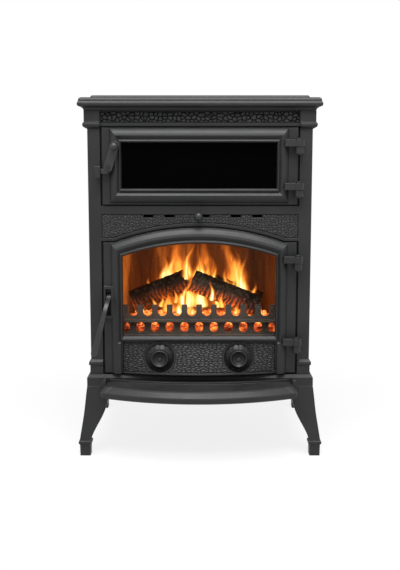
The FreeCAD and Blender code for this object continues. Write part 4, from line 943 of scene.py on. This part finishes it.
def flame_tongue(sheet, root, tip, depth, width, warmth, seed):
    """One curved, tapering sheet of flame from its root to its tip, added to the mesh lists."""
    verts, faces, chart, heats = sheet
    rng = random.Random(seed)
    rows = 26
    cols = 10
    tall = tip[1] - root[1]
    phase = rng.uniform(0, 6.28)
    sway = rng.uniform(0.05, 0.10) * tall
    first = len(verts)
    for i in range(rows + 1):
        t = i / rows
        swell = 0.70 + 0.30 * math.sin(math.pi * min(1.0, 0.15 + t * 1.4))
        wide = width * swell * (1.0 - t) ** 0.7 + 0.0012
        bend = sway * math.sin(phase + t * 6.0) * math.sin(math.pi * t)
        ease = t ** 1.35
        middle = root[0] + (tip[0] - root[0]) * ease + bend
        for j in range(cols + 1):
            u = j / cols
            bulge = width * 0.35 * (1.0 - (2.0 * u - 1.0) ** 2) * (1.0 - t)
            y = depth - bulge + 0.006 * math.sin(phase * 2 + t * 4.0)
            verts.append((middle + (u - 0.5) * wide, y, root[1] + tall * t))
            chart.append((u, t))
            heats.append(warmth)
    for i in range(rows):
        for j in range(cols):
            a = first + i * (cols + 1) + j
            faces.append((a, a + 1, a + cols + 2, a + cols + 1))


# Operators


class STOVE_OT_castings(bpy.types.Operator):
    """Black the body: frame, sides, back, base, top, legs and ash lip"""
    bl_idname = "stove.castings"
    bl_label = "Body castings"

    def execute(self, context):
        iron = blacked_iron("body_black", colours().iron, 0.47, 0.0005, 0.05)
        names = ["front_frame", "side_panel_left", "side_panel_right", "back_panel", "base_plate"]
        names += ["leg_front_left", "leg_front_right", "leg_rear_left", "leg_rear_right"]
        finish(names + ["top_plate", "ash_lip", "flue_collar"], iron)
        return {"FINISHED"}


class STOVE_OT_doors(bpy.types.Operator):
    """Black the doors and finish their panes, ropes and clips"""
    bl_idname = "stove.doors"
    bl_label = "Doors"

    def execute(self, context):
        iron = blacked_iron("door_black", colours().door_iron, 0.45, 0.0004, 0.04)
        finish(["oven_door", "fire_door"], iron)
        finish(["oven_glass"], oven_pane())
        finish(["fire_glass"], fire_pane())
        finish(["oven_door_rope", "fire_door_rope"], woven_rope(colours().rope))
        steel = dark_steel("clip_steel", colours().steel, 0.42, 1.0)
        names = ["oven_glass_clips", "fire_glass_clips", "oven_clip_screws", "fire_clip_screws"]
        finish(names, steel)
        return {"FINISHED"}


class STOVE_OT_fittings(bpy.types.Operator):
    """Finish the latch, handle, hinge pins, air controls and fasteners"""
    bl_idname = "stove.fittings"
    bl_label = "Fittings"

    def execute(self, context):
        black = blacked_iron("fitting_black", colours().fittings, 0.43, 0.0003, 0.03, 900.0)
        # Handle, latch lever and knobs: a lighter copy of the fittings' black as a painted highlight,
        # partly wear from hands.
        bright = [1.9 * c for c in colours().fittings]
        worn = blacked_iron("handled_black_and_painted_sheen", bright, 0.33, 0.0003, 0.03, 900.0)
        finish(["oven_latch_lever", "oven_latch_knob", "fire_handle", "air_slider_knob"], worn)
        names = ["oven_latch_keeper", "fire_door_strike", "oven_hinge_pins", "fire_hinge_pins"]
        finish(names + ["air_dial_left", "air_dial_right"], black)
        steel = dark_steel("bolt_steel", colours().steel, 0.45, 1.0)
        aged = dark_steel("aged_steel", colours().aged_steel, 0.40, 1.0)
        finish(["oven_latch_screw", "fire_handle_pin", "air_spindle_left", "air_spindle_right"], aged)
        names = ["tie_rods", "tie_rod_nuts", "ash_lip_bolts", "flue_collar_bolts", "air_slider_guides"]
        finish(names, steel)
        finish(["air_slider"], sooted_steel("shutter_soot_and_painted_shade"))
        return {"FINISHED"}


class STOVE_OT_firebox(bpy.types.Operator):
    """Finish the liners, floor, grate, guard, baffle, ash pan and oven"""
    bl_idname = "stove.firebox"
    bl_label = "Firebox and oven"

    def execute(self, context):
        finish(["liner_left", "liner_right", "liner_back"], brick_with_painted_firelight(colours().brick))
        finish(["firebox_floor", "log_guard", "baffle_plate"], fired_iron("fired_iron", colours().raw_iron))
        finish(["fire_grate"], fired_iron("hot_iron", colours().raw_iron, 1.1))
        sheet = dark_steel("oven_sheet", colours().sheet, 0.55, 0.3)
        finish(["oven_liner", "ash_pan"], sheet)
        finish(["oven_rack"], dark_steel("rack_steel", colours().steel, 0.35, 1.0))
        return {"FINISHED"}


class STOVE_OT_reliefs(bpy.types.Operator):
    """Raise the cobbled frieze, the pebbled air panel and the lower door panel"""
    bl_idname = "stove.reliefs"
    bl_label = "Relief panels"

    def execute(self, context):
        s = sizes()
        relief = crusted_iron("relief_black", colours().iron, 0.50)
        # Frieze: lighter copy of the relief finish with almost no gloss, so its crowns take more painted
        # light against the painted shade of its joints.
        frieze_painted_light = crusted_iron("frieze_black", [1.9 * c for c in colours().iron], 0.44, 0.03)
        door_relief = crusted_iron("door_relief_black", colours().door_iron, 0.46)
        xs = steps(-BAND_HALF, BAND_HALF, 0.0009)
        made = relief_panel(
            "frieze_cobbles", xs, lambda x: FRIEZE_Z[0], lambda x: FRIEZE_Z[1], rows=28,
            depth=lambda x, z: FRIEZE_Y, bare=[], material=frieze_painted_light,
            Cell=s.cobble, Rise=s.cobble_rise, Joint=0.20, Wander=0.7, Stretch=(1.0, 1.0, 1.15),
        )
        settle(made, "stove")
        ends = [(x - SLOT_HALF, x + SLOT_HALF) for x in AIR_SLOTS] + [KNOB_SLOT]
        made = relief_panel(
            "air_panel_pebbles", xs, lambda x: max(AIR_PANEL_Z[0], rim_arc(x, AIR_PANEL_ARCH)),
            lambda x: AIR_PANEL_Z[1], rows=48, depth=lambda x, z: AIR_PANEL_Y,
            bare=[clear_of_slot(*end, *SLOT_Z) for end in ends], material=relief,
            Cell=s.pebble, Rise=s.pebble_rise, Joint=0.15, Wander=0.5, Stretch=(1.0, 1.0, 1.1),
        )
        settle(made, "stove")
        wells = []
        for name in ("air_dial_left", "air_dial_right"):
            low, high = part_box(name)
            middle = (low + high) / 2
            wells.append(clear_of_disc(middle.x, middle.z, DIAL_WELL))
        made = relief_panel(
            "door_panel_cells", steps(*PANEL_X, 0.0010), lambda x: PANEL_Z[0], lambda x: PANEL_Z[1],
            rows=92, depth=panel_bow, bare=wells, material=door_relief,
            Cell=s.scale_width, Rise=s.scale_rise, Joint=0.20, Wander=0.9, Stretch=(0.66, 1.0, 1.50),
        )
        settle(made, "fire_door")
        return {"FINISHED"}


def panel_bow(x, z):
    """Y of the lower door panel: flat ends, bowed more towards its foot."""
    sag = (1.0 + PANEL_BOW * (PANEL_TOP - z) / PANEL_TALL) * MM
    reach = 1.0 - ((x - DOOR_X) / PANEL_HALF) ** 2
    return PILASTER_Y - PANEL_SET - sag * max(0.0, reach)


class STOVE_OT_logs(bpy.types.Operator):
    """Lay the three bark-covered logs"""
    bl_idname = "stove.logs"
    bl_label = "Logs"

    def execute(self, context):
        bark = charred_bark(colours().bark)

        def glow(p):
            limit = GLOW_Z - GLOW_FALL * abs(p.x - HEART_X)
            under = max(0.0, min(1.0, (limit - p.z) / GLOW_FADE))
            near = max(0.0, 1.0 - abs(p.x) / FIRE_HALF)
            return under * (0.40 + 0.60 * near)

        for name, node, x, side, degrees, length, seed in (
            ("bark_log_left", "log_left", -0.164, 1, 22.0, 0.144, 11),
            ("bark_log_right", "log_right", 0.138, -1, 22.0, 0.168, 23),
            ("bark_log_rear", "log_rear", 0.152, -1, 20.0, 0.130, 31),
        ):
            low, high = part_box(node)
            angle = math.radians(degrees)
            radius = (high.y - low.y) / 2
            foot = (x, (low.y + high.y) / 2, low.z + radius * math.cos(angle))
            heading = (side * math.cos(angle), 0, math.sin(angle))
            split_log(name, node, foot, heading, length, radius, bark, glow, seed)
        return {"FINISHED"}


class STOVE_OT_embers(bpy.types.Operator):
    """Heap the bed of glowing charcoal"""
    bl_idname = "stove.embers"
    bl_label = "Embers"

    def execute(self, context):
        s = sizes()
        low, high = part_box("ember_bed")
        live = live_charcoal(colours().ember)
        xs = steps(low.x + EMBER_MARGIN, high.x - EMBER_MARGIN, EMBER_PITCH)
        ys = steps(low.y + EMBER_MARGIN, high.y - EMBER_MARGIN, EMBER_PITCH)
        rng = random.Random(s.seed)
        verts = []
        for x in xs:
            for y in ys:
                z = low.z + EMBER_MARGIN + rng.uniform(-EMBER_UNEVEN, EMBER_UNEVEN)
                verts.append((x, y, z))
        bed = piece("ember_heap", verts, grid_faces(len(xs), len(ys)), live)
        values = {"Spacing": s.lump * 0.55, "Lump": s.lump, "Seed": s.seed, "Finish": live}
        apply_tree(bed, ember_tree(), values)
        settle(bed, "stove", "ember_bed")
        return {"FINISHED"}


# Flames, in millimetres: root x and z, tip x and z, depth y and width at the root;
# then how white the heart burns, in percent
FLAMES = (
    (-75, 345, -94, 435, 62, 52, 95),
    (-72, 350, -60, 452, 66, 46, 100),
    (-106, 335, -106, 384, 60, 30, 70),
    (-125, 330, -124, 382, 62, 26, 55),
    (-50, 360, -52, 425, 64, 30, 70),
    (-34, 372, -12, 470, 30, 38, 85),
    (-10, 375, 0, 462, 52, 34, 60),
    (20, 352, -6, 448, 36, 40, 95),
    (34, 350, 35, 420, 38, 26, 75),
    (64, 340, 63, 410, 38, 30, 85),
    (99, 322, 81, 462, 36, 52, 105),
    (102, 322, 114, 446, 46, 46, 100),
    (94, 330, 96, 420, 30, 40, 110),
    (126, 318, 136, 372, 50, 30, 60),
    (10, 350, 16, 470, 130, 80, 42),
    (-60, 340, -40, 480, 130, 90, 40),
    (85, 330, 70, 478, 130, 90, 42),
    (-30, 300, -34, 392, 64, 70, 70),
    (4, 300, 0, 384, 60, 60, 80),
    (40, 300, 30, 360, 60, 50, 60),
    (-75, 300, -70, 350, 4, 50, 55),
    (-41, 312, -19, 404, -46, 30, 95),
    (28, 334, 25, 388, -48, 18, 90),
    (-70, 308, -66, 346, -50, 34, 95),
    (-46, 306, -50, 342, -52, 40, 105),
    (-22, 304, -20, 340, -54, 38, 110),
    (-4, 308, -2, 350, -50, 28, 85),
    (-109, 310, -111, 340, -6, 16, 45),
    (-93, 312, -90, 346, -6, 18, 50),
    (-75, 320, -78, 355, -8, 18, 50),
    (-57, 322, -61, 360, -8, 18, 55),
    (51, 318, 53, 360, -50, 18, 50),
    (84, 302, 89, 334, -50, 22, 75),
)


class STOVE_OT_flames(bpy.types.Operator):
    """Light the flames behind and between the logs"""
    bl_idname = "stove.flames"
    bl_label = "Flames"

    def execute(self, context):
        sheet = flame_sheet(colours().flame, colours().flame_heart)
        rise = sizes().flame_rise
        mesh = ([], [], [], [])
        for k, (*places, percent) in enumerate(FLAMES):
            x, z, tip_x, tip_z, depth, width = (place * MM for place in places)
            tip = (tip_x, z + (tip_z - z) * rise)
            flame_tongue(mesh, (x, z), tip, depth, width, percent / 100, FLAME_SEED + k)
        verts, faces, chart, heats = mesh
        made = piece("flames", verts, faces, sheet)
        note(made, "warmth", heats)
        layer = made.data.uv_layers.new(name="tongue")
        for loop in made.data.loops:
            layer.data[loop.index].uv = chart[loop.vertex_index]
        settle(made, "stove")
        return {"FINISHED"}


def seen_ray(tree):
    """Whether the camera, a reflection or glass looks."""
    path = put(tree, "ShaderNodeLightPath").outputs
    seen = reckon(tree, "MAXIMUM", path["Is Camera Ray"], path["Is Glossy Ray"])
    return reckon(tree, "MAXIMUM", seen, path["Is Transmission Ray"])


def end_shader(tree, factor, first, second, kind):
    """Ends a tree with the mix of two shaders."""
    links = {0: factor, 1: first.outputs[0], 2: second.outputs[0]}
    mix = put(tree, "ShaderNodeMixShader", links)
    put(tree, kind, {"Surface": mix.outputs[0]})


class STOVE_OT_stage(bpy.types.Operator):
    """Set the floor, the lamps and the camera"""
    bl_idname = "stove.stage"
    bl_label = "Stage"

    def execute(self, context):
        scene = context.scene
        scene.view_settings.view_transform = "Standard"
        self.lay_floor()
        self.light_world(scene)
        self.hang_lamps()
        data = bpy.data.cameras.new("studio_camera")
        data.lens = CAMERA_LENS
        data.sensor_width = 36.0
        data.clip_end = 60.0
        camera = stand("studio_camera", data)
        camera.location = CAMERA_PLACE
        camera.rotation_euler = (math.radians(CAMERA_TILT), 0.0, 0.0)
        scene.camera = camera
        return {"FINISHED"}

    def lay_floor(self):
        half = FLOOR_HALF
        mesh = bpy.data.meshes.new("studio_floor")
        corners = [(-half, -half, 0), (half, -half, 0), (half, half, 0), (-half, half, 0)]
        mesh.from_pydata(corners, [], [(0, 1, 2, 3)])
        made = bpy.data.materials.new("studio_floor")
        made.use_nodes = True
        tree = made.node_tree
        tree.nodes.clear()
        away = spread(tree, magnitude(tree, here(tree)), 0.30, 0.95, 0.84, 1.0)
        matt = put(tree, "ShaderNodeBsdfDiffuse", {"Color": rgba(colours().floor)})
        white = put(tree, "ShaderNodeEmission", {"Color": (1, 1, 1, 1), "Strength": 1.0})
        end_shader(tree, times(tree, away, seen_ray(tree)), matt, white, "ShaderNodeOutputMaterial")
        mesh.materials.append(made)
        floor = stand("studio_floor", mesh)

    def light_world(self, scene):
        world = bpy.data.worlds.new("studio_world")
        scene.world = world
        world.use_nodes = True
        tree = world.node_tree
        tree.nodes.clear()
        dim = put(tree, "ShaderNodeBackground", {"Color": (1, 1, 1, 1), "Strength": WORLD_FILL})
        white = put(tree, "ShaderNodeBackground", {"Color": (1, 1, 1, 1), "Strength": 1.0})
        end_shader(tree, seen_ray(tree), dim, white, "ShaderNodeOutputWorld")

    def hang_lamps(self):
        for name, place, target, wide, power in LAMPS:
            data = bpy.data.lights.new(name, "AREA")
            data.size = wide
            data.energy = power
            made = stand(name, data)
            made.location = place
            made.rotation_euler = (Vector(target) - Vector(place)).to_track_quat("-Z", "Y").to_euler()


class STOVE_PT_panel(bpy.types.Panel):
    """Sidebar with the stove's sizes, colours and build steps"""
    bl_idname = "STOVE_PT_panel"
    bl_label = "Cast iron stove"
    bl_space_type = "VIEW_3D"
    bl_region_type = "UI"
    bl_category = "Stove"

    def draw(self, context):
        for group in (context.scene.stove_sizes, context.scene.stove_colours):
            box = self.layout.box()
            for key in group.__annotations__:
                box.prop(group, key)
        for step in OPERATORS:
            self.layout.operator(step.bl_idname)


OPERATORS = (
    STOVE_OT_castings,
    STOVE_OT_doors,
    STOVE_OT_fittings,
    STOVE_OT_firebox,
    STOVE_OT_reliefs,
    STOVE_OT_logs,
    STOVE_OT_embers,
    STOVE_OT_flames,
    STOVE_OT_stage,
)
CLASSES = (StoveSizes, StoveColours) + OPERATORS + (STOVE_PT_panel,)


def register():
    for item in CLASSES:
        bpy.utils.register_class(item)
    bpy.types.Scene.stove_sizes = PointerProperty(type=StoveSizes)
    bpy.types.Scene.stove_colours = PointerProperty(type=StoveColours)


def unregister():
    del bpy.types.Scene.stove_colours
    del bpy.types.Scene.stove_sizes
    for item in reversed(CLASSES):
        bpy.utils.unregister_class(item)


def main():
    register()
    for step in OPERATORS:
        group, name = step.bl_idname.split(".")
        getattr(getattr(bpy.ops, group), name)()


if __name__ == "__main__":
    main()
